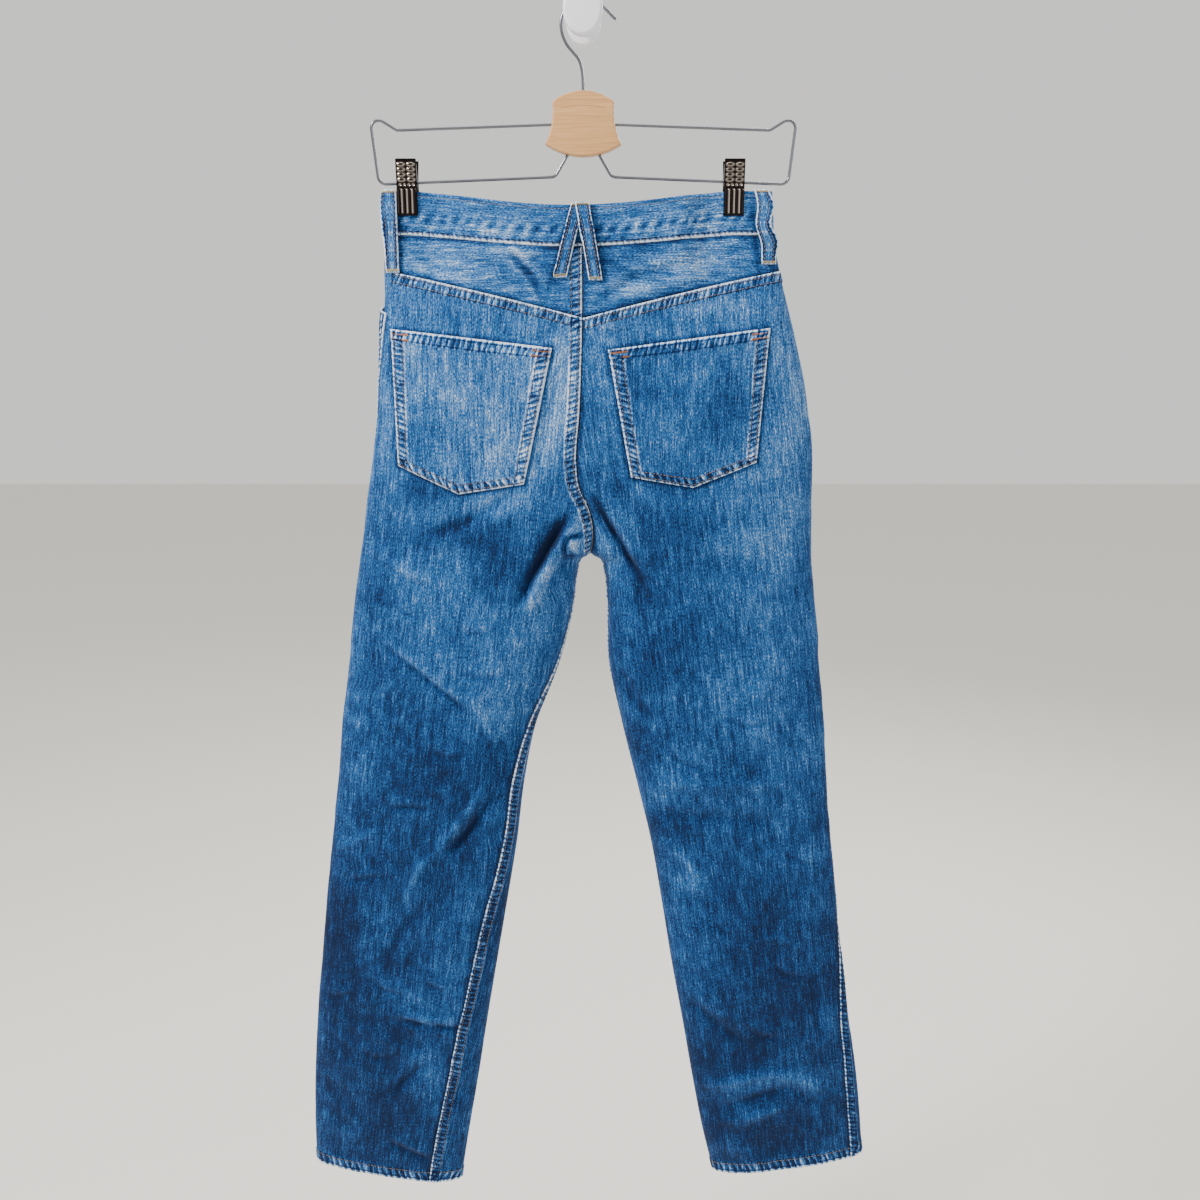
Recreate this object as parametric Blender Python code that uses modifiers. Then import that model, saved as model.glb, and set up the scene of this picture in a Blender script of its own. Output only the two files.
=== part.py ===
"""Slim five-pocket jeans hung by their waistband from a wire clip hanger on a wall hook.

Metres, +Z up. The wall is the plane y = 0 and the garment's back faces -Y, into the room.
The origin is the middle of the wall hook's back face. The wearer's left side is at -X.
"""

import math
from collections import namedtuple

import bmesh
import bpy
import numpy as np
from mathutils import Vector

# Cloth
CLOTH = 0.0015  # thickness of one wall of denim
SEAM_GAP = 0.0003  # between pieces that are sewn together
LAY_GAP = 0.0004  # under a piece that lies on a panel
BAND_OUT = 0.0008  # how far the waistband stands proud of the panels
BAND_THICK = 0.0032
LOOP_THICK = 0.0020
HANG_Y = -0.028  # the plane of the hanger's wire, and of the garment's edges

# Heights
PANEL_TOP_Z = -0.2625  # rows are level from here down to the thigh
SEAT_Z = -0.400
CROTCH_Z = -0.460
THIGH_Z = -0.520
HEM_Z = -1.103
CURVE_TOP_Z = -0.330  # the seat seam lies in the back's plane above this
TABLE_TOP_Z = -0.125
TABLE_END_Z = -1.150

# Waistband
BAND_TALL = 0.0365
BAND_TOP_Z = -0.1425  # at the clips
BACK_SAG = 0.0122  # how far the top edge drops between the clips
FRONT_SAG = 0.0155
OVERLAP = 0.036  # the end that lies under the buttonhole

# Yoke
YOKE_POINT_Z = -0.2495
YOKE_SLOPE = 0.262
YOKE_EASE = 0.16

# Hems, square to each leg
HEM_TALL = 0.012
HEM_LINE = {"left": (-1.1085, -0.148, -0.203), "right": (-1.0985, 0.132, 0.209)}

# One row for each section of a leg, from the waist down.
# inner and outer are the edges' x, back and front the half depths on each side of HANG_Y,
# out_turn and in_turn how far the outseam and the inseam lie round on the back face.
Section = namedtuple("Section", "z inner outer back front out_turn in_turn")
SECTIONS = {
    "left": (
        Section(-0.142, 0.000, -0.1715, 0.0135, 0.0125, 0.013, 0.000),
        Section(-0.180, 0.000, -0.1750, 0.0170, 0.0150, 0.014, 0.000),
        Section(-0.215, 0.000, -0.1780, 0.0215, 0.0180, 0.014, 0.000),
        Section(-0.260, 0.000, -0.1810, 0.0265, 0.0215, 0.010, 0.000),
        Section(-0.312, 0.000, -0.1842, 0.0300, 0.0245, 0.004, 0.000),
        Section(-0.366, 0.000, -0.1902, 0.0315, 0.0255, -0.002, 0.000),
        Section(-0.420, 0.000, -0.1998, 0.0315, 0.0255, -0.007, 0.000),
        Section(-0.460, 0.005, -0.2063, 0.0310, 0.0255, -0.009, 0.000),
        Section(-0.475, -0.004, -0.2088, 0.0308, 0.0255, -0.010, 0.000),
        Section(-0.505, -0.009, -0.2138, 0.0304, 0.0252, -0.011, 0.0010),
        Section(-0.562, -0.0235, -0.2215, 0.0290, 0.0245, -0.012, 0.0060),
        Section(-0.622, -0.0455, -0.2312, 0.0275, 0.0235, -0.013, 0.0140),
        Section(-0.682, -0.0580, -0.2377, 0.0262, 0.0225, -0.014, 0.0190),
        Section(-0.744, -0.0660, -0.2465, 0.0250, 0.0215, -0.016, 0.0205),
        Section(-0.807, -0.0765, -0.2548, 0.0238, 0.0205, -0.018, 0.0262),
        Section(-0.872, -0.0877, -0.2631, 0.0226, 0.0195, -0.020, 0.0305),
        Section(-0.938, -0.0990, -0.2707, 0.0214, 0.0185, -0.022, 0.0342),
        Section(-1.006, -0.1100, -0.2765, 0.0202, 0.0172, -0.025, 0.0362),
        Section(-1.060, -0.1195, -0.2790, 0.0192, 0.0160, -0.027, 0.0382),
        Section(-1.130, -0.1310, -0.2785, 0.0180, 0.0150, -0.029, 0.0385),
    ),
    "right": (
        Section(-0.142, 0.000, 0.1630, 0.0135, 0.0125, -0.007, 0.000),
        Section(-0.180, 0.000, 0.1660, 0.0170, 0.0150, -0.007, 0.000),
        Section(-0.215, 0.000, 0.1735, 0.0215, 0.0180, -0.008, 0.000),
        Section(-0.260, 0.000, 0.1860, 0.0265, 0.0215, -0.008, 0.000),
        Section(-0.312, 0.000, 0.1985, 0.0300, 0.0245, -0.008, 0.000),
        Section(-0.366, 0.000, 0.2068, 0.0315, 0.0255, -0.008, 0.000),
        Section(-0.420, 0.000, 0.2078, 0.0315, 0.0255, -0.008, 0.000),
        Section(-0.460, 0.005, 0.2095, 0.0310, 0.0255, -0.008, 0.000),
        Section(-0.475, 0.0150, 0.2110, 0.0308, 0.0255, -0.008, 0.000),
        Section(-0.505, 0.0205, 0.2145, 0.0304, 0.0252, -0.008, -0.001),
        Section(-0.562, 0.0225, 0.2207, 0.0290, 0.0245, -0.007, -0.002),
        Section(-0.622, 0.0345, 0.2274, 0.0275, 0.0235, -0.006, -0.003),
        Section(-0.682, 0.0490, 0.2328, 0.0262, 0.0225, -0.005, -0.004),
        Section(-0.744, 0.0635, 0.2392, 0.0250, 0.0215, -0.003, -0.005),
        Section(-0.807, 0.0745, 0.2470, 0.0238, 0.0205, 0.0000, -0.006),
        Section(-0.872, 0.0850, 0.2562, 0.0226, 0.0195, 0.0072, -0.007),
        Section(-0.938, 0.0970, 0.2660, 0.0214, 0.0185, 0.0145, -0.008),
        Section(-1.006, 0.1088, 0.2768, 0.0202, 0.0172, 0.0175, -0.009),
        Section(-1.060, 0.1190, 0.2830, 0.0192, 0.0160, 0.0178, -0.010),
        Section(-1.130, 0.1360, 0.2895, 0.0180, 0.0150, 0.0175, -0.010),
    ),
}
EDGE_POWER = 2.35  # 2 is an ellipse; more is fuller near the outer edge
INNER_ROUND = 0.40  # share of a leg's width over which its inner edge rounds off

# The seat seam's x at each height: it is pulled aside just above the crotch.
SEAT_SEAM = (
    (-0.190, -0.001),
    (-0.260, -0.001),
    (-0.330, -0.0035),
    (-0.375, -0.0065),
    (-0.395, -0.0045),
    (-0.420, 0.0055),
    (-0.445, 0.0080),
    (-0.460, 0.0050),
)

# The largest folds. depth is a trough where it is positive and a ridge where it isn't.
Fold = namedtuple("Fold", "face x0 z0 x1 z1 width depth")
FOLDS = (
    Fold("back", -0.012, -0.458, -0.082, -0.606, 0.015, 0.0080),
    Fold("back", -0.035, -0.470, -0.110, -0.590, 0.022, -0.0035),
    Fold("back", 0.012, -0.432, 0.040, -0.520, 0.011, 0.0065),
    Fold("back", 0.032, -0.430, 0.062, -0.510, 0.016, -0.0025),
    Fold("back", -0.198, -0.535, -0.118, -0.606, 0.012, 0.0042),
    Fold("back", -0.190, -0.520, -0.112, -0.588, 0.016, -0.0028),
    Fold("back", -0.240, -0.770, -0.120, -0.700, 0.018, 0.0036),
    Fold("back", -0.095, -0.690, -0.215, -0.800, 0.015, -0.0038),
    Fold("back", -0.100, -0.725, -0.180, -0.810, 0.014, 0.0034),
    Fold("back", -0.130, -0.955, -0.215, -0.925, 0.017, 0.0032),
    Fold("back", -0.060, -0.395, -0.110, -0.455, 0.020, 0.0030),
    Fold("back", 0.100, -0.880, 0.190, -0.905, 0.020, 0.0034),
    Fold("back", 0.095, -0.850, 0.215, -0.868, 0.018, -0.0026),
    Fold("back", 0.130, -1.045, 0.235, -0.995, 0.018, -0.0030),
    Fold("back", 0.150, -1.070, 0.250, -1.035, 0.016, 0.0026),
    Fold("back", 0.040, -0.600, 0.120, -0.650, 0.022, 0.0024),
    Fold("front", -0.010, -0.455, -0.095, -0.560, 0.016, 0.0050),
    Fold("front", 0.020, -0.455, 0.105, -0.560, 0.016, 0.0050),
    Fold("front", -0.020, -0.395, -0.125, -0.370, 0.016, 0.0026),
    Fold("front", 0.020, -0.395, 0.125, -0.370, 0.016, 0.0026),
    Fold("front", -0.225, -0.735, -0.110, -0.700, 0.018, 0.0030),
    Fold("front", 0.215, -0.760, 0.095, -0.725, 0.018, 0.0030),
    Fold("front", -0.235, -0.955, -0.140, -0.985, 0.018, 0.0026),
    Fold("front", 0.245, -0.930, 0.140, -0.960, 0.018, 0.0026),
)

# Clips of the hanger, and how they pinch the waist
CLIP_X = {"left": -0.1522, "right": 0.1300}
CLIP_WIDE = 0.0178
CLIP_TOP_Z = -0.1165
CLIP_LOW_Z = -0.1630
PINCH_DEPTH = 0.0035
PINCH_FLAT = 0.018
PINCH_FADE = 0.030
PINCH_END_Z = -0.262

# Back pockets: the corners' (x, z), from the top edge's ends round to the point
Pocket = namedtuple("Pocket", "left_top right_top right_low point left_low")
POCKETS = {
    "left": Pocket(
        (-0.1690, -0.2588), (-0.0273, -0.2749), (-0.0530, -0.3930),
        (-0.1115, -0.4025), (-0.1655, -0.3779),
    ),
    "right": Pocket(
        (0.0212, -0.2766), (0.1627, -0.2580), (0.1531, -0.3744),
        (0.0969, -0.3966), (0.0417, -0.3868),
    ),
}
POCKET_THICK = 0.0015

# Belt loops: x of the loop's middle at its two ends, on a face of one half. The two at the
# centre back cross at the top, where the right one lies over the left one.
LOOP_WIDE = 0.0112
LOOP_LOW_Z = -0.2125
LOOP_BOW = 0.0030
LOOP_OVER = 0.0022  # how far the upper of two crossed loops is lifted
LOOP_OVER_SPAN = (0.35, 0.40)  # where down the loop the lift starts to fall, and over how much
Loop = namedtuple("Loop", "name side face top_x low_x low_z bow columns over")
LOOPS = (
    Loop("belt_loop_back_left", "left", "back", -0.0044, -0.0203, -0.2155, LOOP_BOW, 2, 0.0),
    Loop("belt_loop_back_right", "right", "back", -0.0008, 0.0106, -0.2180, LOOP_BOW, 2, LOOP_OVER),
    Loop("belt_loop_side_left", "left", "back", -0.1672, -0.1664, -0.2110, LOOP_BOW, 4, 0.0),
    Loop("belt_loop_side_right", "right", "back", 0.1530, 0.1610, -0.2040, 0.0038, 4, 0.0),
    Loop("belt_loop_front_left", "left", "front", -0.0880, -0.0880, LOOP_LOW_Z, LOOP_BOW, 2, 0.0),
    Loop("belt_loop_front_right", "right", "front", 0.0880, 0.0880, LOOP_LOW_Z, LOOP_BOW, 2, 0.0),
)

# Front pockets and fly
SCOOP_WIDE = 0.086  # from the outseam to where the mouth meets the waistband
SCOOP_DEEP = 0.066
SCOOP_POWER = 2.3
FACING_UNDER = 0.014  # how far the facing runs on under the front
FACING_THICK = 0.0010
FACING_CLEAR = 0.0009
FACING_DIP = 0.0016  # it hangs clear of the front below the mouth
FACING_SHORT = 0.0020  # it stops this far from the outseam
FLY_WIDE = 0.037
FLY_LOW_Z = -0.352
FLY_ROUND = 0.030
FLY_THICK = 0.0011
BUTTON_RADIUS = 0.0085
BUTTON_X = -0.0160

# Hanger and wall hook
WIRE_RADIUS = 0.0013
WIRE_CLEAR = 0.0003
BLOCK_THICK = 0.013
BLOCK_HALF_TOP = 0.0264
BLOCK_HALF_LOW = 0.0326
BLOCK_TOP_Z = -0.0702
BLOCK_LOW_Z = -0.1043
BLOCK_CROWN = 0.0090
BLOCK_BELLY = 0.0098
BLOCK_WAIST = 0.0026
JAW_SHEET = 0.0010
SPRING_RADIUS = 0.0050
POST_RADIUS = 0.0105
BASE_DEEP = 0.008
KNOB_FRONT_Y = -0.052
KNOB_BACK_Y = -0.037
KNOB_HALF = (0.0165, 0.0215)
BASE_HALF = (0.0150, 0.0200)

# Resolution
ARC_SAMPLES = 120
LEVEL_STEP = 0.0025
PANEL_COLUMNS = 12
COLUMN_CROWD = 0.085
UPPER_ROWS = 7
CROTCH_ROWS = 12
LOWER_ROWS = 18
MOUTH_ROWS = 9

# Each leg panel is one cut of cloth, made as solids that end at these heights
PANEL_PARTS = ("upper", "thigh", "knee", "calf")
PANEL_CUTS = (CROTCH_Z, -0.710, -0.900)

COLOURS = {
    "denim": ((0.115, 0.245, 0.455, 1.0), 0.92, 0.0),
    "denim_worn": ((0.170, 0.315, 0.530, 1.0), 0.92, 0.0),
    "button_metal": ((0.55, 0.42, 0.30, 1.0), 0.35, 1.0),
    "wire": ((0.30, 0.29, 0.28, 1.0), 0.28, 1.0),
    "clip_metal": ((0.050, 0.042, 0.038, 1.0), 0.35, 0.8),
    "wood": ((0.62, 0.39, 0.17, 1.0), 0.50, 0.0),
    "white_plastic": ((0.83, 0.83, 0.86, 1.0), 0.40, 0.0),
}


def smooth_through(heights, values, at):
    """Values at the given heights, on one smooth curve through the rows of a table."""
    order = np.argsort(heights)
    z = np.asarray(heights, float)[order]
    v = np.asarray(values, float)[order]
    slope = np.gradient(v, z)
    low = np.clip(np.searchsorted(z, at) - 1, 0, len(z) - 2)
    span = z[low + 1] - z[low]
    t = np.clip((at - z[low]) / span, 0.0, 1.0)
    rise = slope[low] * span * t * (1 - t) ** 2 - slope[low + 1] * span * t**2 * (1 - t)
    return v[low] * (1 + 2 * t) * (1 - t) ** 2 + v[low + 1] * t**2 * (3 - 2 * t) + rise


def smooth_step(t):
    t = np.clip(t, 0.0, 1.0)
    return t * t * (3 - 2 * t)


LEVELS = np.arange(TABLE_END_Z, TABLE_TOP_Z + LEVEL_STEP / 2, LEVEL_STEP)


def column_of(side, name):
    rows = SECTIONS[side]
    return smooth_through([r.z for r in rows], [getattr(r, name) for r in rows], LEVELS)


COLUMNS = {
    side: {name: column_of(side, name) for name in Section._fields[1:]} for side in SECTIONS
}
SEAT_X = smooth_through([r[0] for r in SEAT_SEAM], [r[1] for r in SEAT_SEAM], LEVELS)


def at_level(side, name, z):
    return np.interp(z, LEVELS, COLUMNS[side][name])


def opening_at(z):
    """1 where the centre seam lies in the back's plane, 0 at the crotch and below."""
    t = np.clip((CURVE_TOP_Z - z) / (CURVE_TOP_Z - CROTCH_Z), 0.0, 1.0)
    return np.sqrt(1.0 - t**2)


def inner_edge(side, face, z):
    """x of a half's inner edge: the centre seam above the crotch, the leg's edge below it."""
    away = -SEAM_GAP if side == "left" else SEAM_GAP
    centre = np.interp(z, LEVELS, SEAT_X)
    if face == "front":
        centre = centre * (1 - opening_at(z))
    leg = at_level(side, "inner", z)
    return np.where(z > CROTCH_Z + 0.0001, centre, leg) + away


def fold_rise(face, x, z):
    """How far the folds push a face outwards at (x, z)."""
    rise = np.zeros(np.broadcast(x, z).shape)
    for fold in FOLDS:
        if fold.face != face:
            continue
        run = np.array([fold.x1 - fold.x0, fold.z1 - fold.z0])
        length = np.hypot(*run)
        along = ((x - fold.x0) * run[0] + (z - fold.z0) * run[1]) / length**2
        across = ((x - fold.x0) * run[1] - (z - fold.z0) * run[0]) / length
        ends = smooth_step(0.5 + along * 2.2) * smooth_step(0.5 + (1 - along) * 2.2)
        rise = rise - fold.depth * ends * np.exp(-((across / fold.width) ** 2))
    return rise


def half_depth(side, face, x, z):
    """Distance of a face from the hanging plane at (x, z)."""
    inner = inner_edge(side, face, z)
    outer = at_level(side, "outer", z)
    share = np.clip((x - inner) / (outer - inner), 0.0, 1.0)
    edge = (1 - share**EDGE_POWER) ** (1 / EDGE_POWER)
    turn = np.clip(share / INNER_ROUND, 0.0, 1.0)
    opening = opening_at(z)
    centre = opening + (1 - opening) * np.sqrt(1 - (1 - turn) ** 2)
    full = at_level(side, face, z)
    fade = np.minimum(edge, centre) ** 0.7
    depth = full * edge * centre + fold_rise(face, x, z) * fade
    beside = np.abs(x - CLIP_X[side])
    window = 1 - smooth_step((beside - PINCH_FLAT) / PINCH_FADE)
    window = window * (1 - smooth_step((CLIP_LOW_Z - z) / (CLIP_LOW_Z - PINCH_END_Z)))
    return depth + (np.minimum(depth, PINCH_DEPTH) - depth) * window


def face_point(side, face, x, z):
    sign = -1.0 if face == "back" else 1.0
    return np.array([x, HANG_Y + sign * half_depth(side, face, x, z), z])


def section_path(side, z):
    """One level's outline, from the inner edge over the back to the outer edge and home."""
    spread = 0.5 * (1 - np.cos(np.linspace(0.0, math.pi, ARC_SAMPLES)))
    path = []
    for face, shares in (("back", spread), ("front", spread[::-1])):
        inner = inner_edge(side, face, z)
        x = inner + (at_level(side, "outer", z) - inner) * shares
        sign = -1.0 if face == "back" else 1.0
        y = HANG_Y + sign * half_depth(side, face, x, np.full_like(x, z))
        path.append(np.stack([x, y], axis=1))
    return np.concatenate([path[0], path[1][1:]])


def even(path, start, end):
    """Points evenly spaced along a path between two distances; it may wrap past its ends."""
    steps = np.linalg.norm(np.diff(path, axis=0), axis=1)
    run = np.concatenate([[0.0], np.cumsum(steps)])
    total = run[-1]
    looped = np.concatenate([path[:-1], path, path[1:]])
    places = np.concatenate([run[:-1] - total, run, run[1:] + total])
    wanted = np.linspace(start, end, ARC_SAMPLES)
    return np.stack([np.interp(wanted, places, looped[:, i]) for i in (0, 1)], axis=1)


def skin_tables(side):
    """For each face the (x, y) of every level between that half's two seams."""
    faces = {"back": [], "front": []}
    for level, z in enumerate(LEVELS):
        path = section_path(side, z)
        steps = np.linalg.norm(np.diff(path, axis=0), axis=1)
        over_back = steps[: ARC_SAMPLES - 1].sum()
        total = steps.sum()
        outseam = over_back - COLUMNS[side]["out_turn"][level]
        inseam = COLUMNS[side]["in_turn"][level] if z < CROTCH_Z else 0.0
        faces["back"].append((even(path, inseam, outseam), outseam - inseam))
        faces["front"].append((even(path, total + inseam, outseam), total + inseam - outseam))
    return {
        face: (np.array([r[0] for r in rows]), np.array([r[1] for r in rows]))
        for face, rows in faces.items()
    }


SKIN = {side: skin_tables(side) for side in SECTIONS}


def width_at(side, face, z):
    return float(np.interp(z, LEVELS, SKIN[side][face][1]))


def skin_point(side, face, share, z):
    """A point of a face: share runs from its inner seam, 0, to the outseam, 1.

    Beyond either seam it goes on over the piece on the other side of that seam.
    """
    if share > 1.0:
        other = "front" if face == "back" else "back"
        beyond = (share - 1.0) * width_at(side, face, z) / width_at(side, other, z)
        return skin_point(side, other, 1.0 - beyond, z)
    if share < 0.0:
        if z < CROTCH_Z + 0.0001:
            next_side, next_face = side, "front" if face == "back" else "back"
        else:
            next_side, next_face = "right" if side == "left" else "left", face
        ratio = width_at(side, face, z) / width_at(next_side, next_face, z)
        return skin_point(next_side, next_face, -share * ratio, z)
    table = SKIN[side][face][0]
    row = np.clip((z - LEVELS[0]) / LEVEL_STEP, 0, len(LEVELS) - 1.001)
    place = share * (ARC_SAMPLES - 1)
    r, c = int(row), min(int(place), ARC_SAMPLES - 2)
    fr, fc = row - r, place - c
    near = table[r, c] * (1 - fc) + table[r, c + 1] * fc
    far = table[r + 1, c] * (1 - fc) + table[r + 1, c + 1] * fc
    x, y = near * (1 - fr) + far * fr
    return np.array([x, y, z])


def skin_normal(side, face, share, z):
    """Outward unit normal, from differences that run on across the seams."""
    step = 0.004
    reach = step / width_at(side, face, z)
    across = skin_point(side, face, share + reach, z) - skin_point(side, face, share - reach, z)
    down = skin_point(side, face, share, z - step) - skin_point(side, face, share, z + step)
    normal = np.cross(down, across)
    normal = normal / np.linalg.norm(normal)
    outwards = -1.0 if (side == "left") == (face == "back") else 1.0
    return normal * outwards


def new_object(name, mesh, material, smooth=True):
    obj = bpy.data.objects.new(name, mesh)
    jeans.objects.link(obj)
    mesh.materials.append(material_of(material))
    if smooth:
        mesh.shade_smooth()
        mesh.set_sharp_from_angle(angle=math.radians(40))
    return obj


def material_of(name):
    found = bpy.data.materials.get(name)
    if found:
        return found
    colour, roughness, metallic = COLOURS[name]
    made = bpy.data.materials.new(name)
    made.use_nodes = True
    shader = made.node_tree.nodes["Principled BSDF"]
    shader.inputs["Base Color"].default_value = colour
    shader.inputs["Roughness"].default_value = roughness
    shader.inputs["Metallic"].default_value = metallic
    return made


def solid_from(bm, name, material):
    """An object from a closed mesh, its faces turned outwards."""
    bmesh.ops.recalc_face_normals(bm, faces=bm.faces)
    if bm.calc_volume(signed=True) < 0:
        bmesh.ops.reverse_faces(bm, faces=bm.faces)
    mesh = bpy.data.meshes.new(name)
    bm.to_mesh(mesh)
    bm.free()
    return new_object(name, mesh, material)


def wall(name, columns, rows, place, material="denim", closed=False):
    """A sheet of cloth with thickness. place(i, j) gives a grid point's outer and inner place."""
    bm = bmesh.new()
    grid = [[place(i, j) for i in range(columns + 1)] for j in range(rows + 1)]
    outer = [[bm.verts.new(p[0]) for p in row] for row in grid]
    inner = [[bm.verts.new(p[1]) for p in row] for row in grid]
    for j in range(rows):
        for i in range(columns):
            a, b = outer[j], outer[j + 1]
            bm.faces.new((a[i], a[i + 1], b[i + 1], b[i]))
            a, b = inner[j], inner[j + 1]
            bm.faces.new((b[i], b[i + 1], a[i + 1], a[i]))
    for j in (0, rows):
        for i in range(columns):
            bm.faces.new((outer[j][i], outer[j][i + 1], inner[j][i + 1], inner[j][i]))
    if closed:
        bmesh.ops.remove_doubles(bm, verts=bm.verts, dist=0.00002)
    else:
        for i in (0, columns):
            for j in range(rows):
                bm.faces.new((outer[j][i], inner[j][i], inner[j + 1][i], outer[j + 1][i]))
    return solid_from(bm, name, material)


def loft(name, loops, material):
    """A closed solid through loops with the same number of points."""
    bm = bmesh.new()
    rings = [[bm.verts.new(p) for p in loop] for loop in loops]
    count = len(rings[0])
    for a, b in zip(rings, rings[1:]):
        for i in range(count):
            k = (i + 1) % count
            bm.faces.new((a[i], a[k], b[k], b[i]))
    bm.faces.new(rings[0])
    bm.faces.new(rings[-1])
    return solid_from(bm, name, material)


def sag_at(x):
    """0 at the clips and 1 midway between them."""
    t = (x - CLIP_X["left"]) / (CLIP_X["right"] - CLIP_X["left"])
    return math.sin(math.pi * min(max(t, 0.0), 1.0)) ** 1.3


def band_top(face, x):
    return BAND_TOP_Z - (BACK_SAG if face == "back" else FRONT_SAG) * sag_at(x)


def band_low(face, x):
    return band_top(face, x) - BAND_TALL + 0.002 * sag_at(x)


def yoke_low(x):
    return YOKE_POINT_Z + YOKE_SLOPE * abs(x) - YOKE_EASE * x * x


def hem_low(side, x):
    height, slope, middle = HEM_LINE[side]
    return height + slope * (x - middle)


def settle(side, face, share, height_of, guess):
    """The height where a seam that depends on x crosses this share of the face."""
    z = guess
    for _ in range(4):
        z = height_of(skin_point(side, face, share, z)[0])
    return z


def level_rows():
    """Heights of the rows that every leg panel shares: closer at the crotch."""
    upper = np.linspace(PANEL_TOP_Z, SEAT_Z, UPPER_ROWS + 1)
    crotch = np.linspace(SEAT_Z, THIGH_Z, CROTCH_ROWS + 1)[1:]
    lower = np.linspace(THIGH_Z, HEM_Z + HEM_TALL, LOWER_ROWS + 1)[1:]
    return np.concatenate([upper, crotch, lower, [HEM_Z]])


def tilted(side, face, share, z):
    """A level row's height at this share: towards the hem it takes on the hem's slope."""
    low = settle(side, face, share, lambda x: hem_low(side, x), HEM_Z)
    return z + (low - HEM_Z) * smooth_step((THIGH_Z - z) / (THIGH_Z - HEM_Z))


def offset_pair(side, face, share, z, outer, inner):
    point = skin_point(side, face, share, z)
    normal = skin_normal(side, face, share, z)
    return Vector(point + normal * outer), Vector(point + normal * inner)


def trimmed(side, face, share, z):
    """Moves a panel's edge in by half a seam gap."""
    edge = SEAM_GAP / 2 / width_at(side, face, z)
    return edge + share * (1 - 2 * edge)


def column_share(i):
    """Share of a panel's column i: they stand closer at the seams, where the cloth turns."""
    t = i / PANEL_COLUMNS
    return t - COLUMN_CROWD * math.sin(2 * math.pi * t)


def build_panel(name, levels, above, place):
    """A leg panel as solids end to end, because collision follows a short one more closely.

    place(i, j, drop) gives a grid point; row above is the first of the levels.
    """
    cuts = [above + int(np.argmin(np.abs(levels - z))) for z in PANEL_CUTS]
    ends = cuts + [above + len(levels) - 1]
    for part, first, last in zip(PANEL_PARTS, [0] + cuts, ends):

        def stretch(i, j, first=first):
            drop = SEAM_GAP if first and j == 0 else 0.0
            return place(i, first + j, drop)

        wall(f"{name}_{part}", PANEL_COLUMNS, last - first, stretch)


def build_back(side):
    levels = level_rows()
    upper = 2

    def place(i, j, drop):
        share = column_share(i)
        if j < upper:
            top = settle(side, "back", share, yoke_low, YOKE_POINT_Z) - SEAM_GAP / 2
            z = top + (PANEL_TOP_Z - top) * j / upper
        else:
            z = tilted(side, "back", share, levels[j - upper]) - drop
        return offset_pair(side, "back", trimmed(side, "back", share, z), z, 0.0, -CLOTH)

    build_panel(f"back_{side}", levels, upper, place)


def build_yoke(side):
    rows = 3

    def place(i, j):
        share = column_share(i)
        top = settle(side, "back", share, lambda x: band_low("back", x), -0.18) - SEAM_GAP
        low = settle(side, "back", share, yoke_low, -0.24) + SEAM_GAP / 2
        z = top + (low - top) * j / rows
        return offset_pair(side, "back", trimmed(side, "back", share, z), z, 0.0, -CLOTH)

    return wall(f"yoke_{side}", PANEL_COLUMNS, rows, place)


def front_top(side, share):
    return settle(side, "front", share, lambda x: band_low("front", x), -0.19) - SEAM_GAP


def scoop_share(side, down, z):
    """The front's outer limit, as a share of its width, at a distance below the waistband."""
    if down >= SCOOP_DEEP:
        return 1.0
    reach = SCOOP_WIDE * (1.0 - (down / SCOOP_DEEP) ** SCOOP_POWER)
    return 1.0 - reach / width_at(side, "front", z)


def build_front(side):
    left_over = np.cos(np.linspace(0, math.pi / 2, MOUTH_ROWS + 1)) ** 1.6
    mouth = SCOOP_DEEP * (1.0 - left_over) ** (1 / SCOOP_POWER)
    levels = level_rows()

    def place(i, j, drop):
        share = column_share(i)
        if j <= MOUTH_ROWS:
            for _ in range(3):
                z = front_top(side, share) - mouth[j]
                share = column_share(i) * scoop_share(side, mouth[j], z)
        else:
            z = tilted(side, "front", share, levels[j - MOUTH_ROWS - 1]) - drop
        return offset_pair(side, "front", trimmed(side, "front", share, z), z, 0.0, -CLOTH)

    build_panel(f"front_{side}", levels, MOUTH_ROWS + 1, place)


def build_facing(side):
    """The pocket's facing, which shows in the mouth and runs on under the front."""
    columns, rows = 8, 7

    def place(i, j):
        down = (SCOOP_DEEP + FACING_UNDER) * j / rows
        share = 0.8
        for _ in range(3):
            z = front_top(side, share) - down
            limit = scoop_share(side, min(down, SCOOP_DEEP * 0.97), z)
            start = limit - FACING_UNDER / width_at(side, "front", z)
            end = 1.0 - FACING_SHORT / width_at(side, "front", z)
            share = start + (end - start) * i / columns
        dip = FACING_DIP * smooth_step((down / SCOOP_DEEP - 0.30) / 0.5)
        under = CLOTH + FACING_CLEAR + float(dip)
        return offset_pair(side, "front", share, z, -under, -under - FACING_THICK)

    return wall(f"front_pocket_facing_{side}", columns, rows, place)


def band_share(distance):
    """(side, face, share at the band's middle) for a distance round the waist.

    It starts at the centre front, runs over the left front to the back and on to the right.
    """
    z = BAND_TOP_Z - BAND_TALL / 2
    stretches = (
        ("left", "front", 0),
        ("left", "back", 1),
        ("right", "back", 0),
        ("right", "front", 1),
    )
    for side, face, backwards in stretches:
        width = width_at(side, face, z)
        if distance <= width:
            share = distance / width
            return side, face, 1 - share if backwards else share
        distance -= width
    return "left", "front", distance / width_at("left", "front", z)


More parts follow.
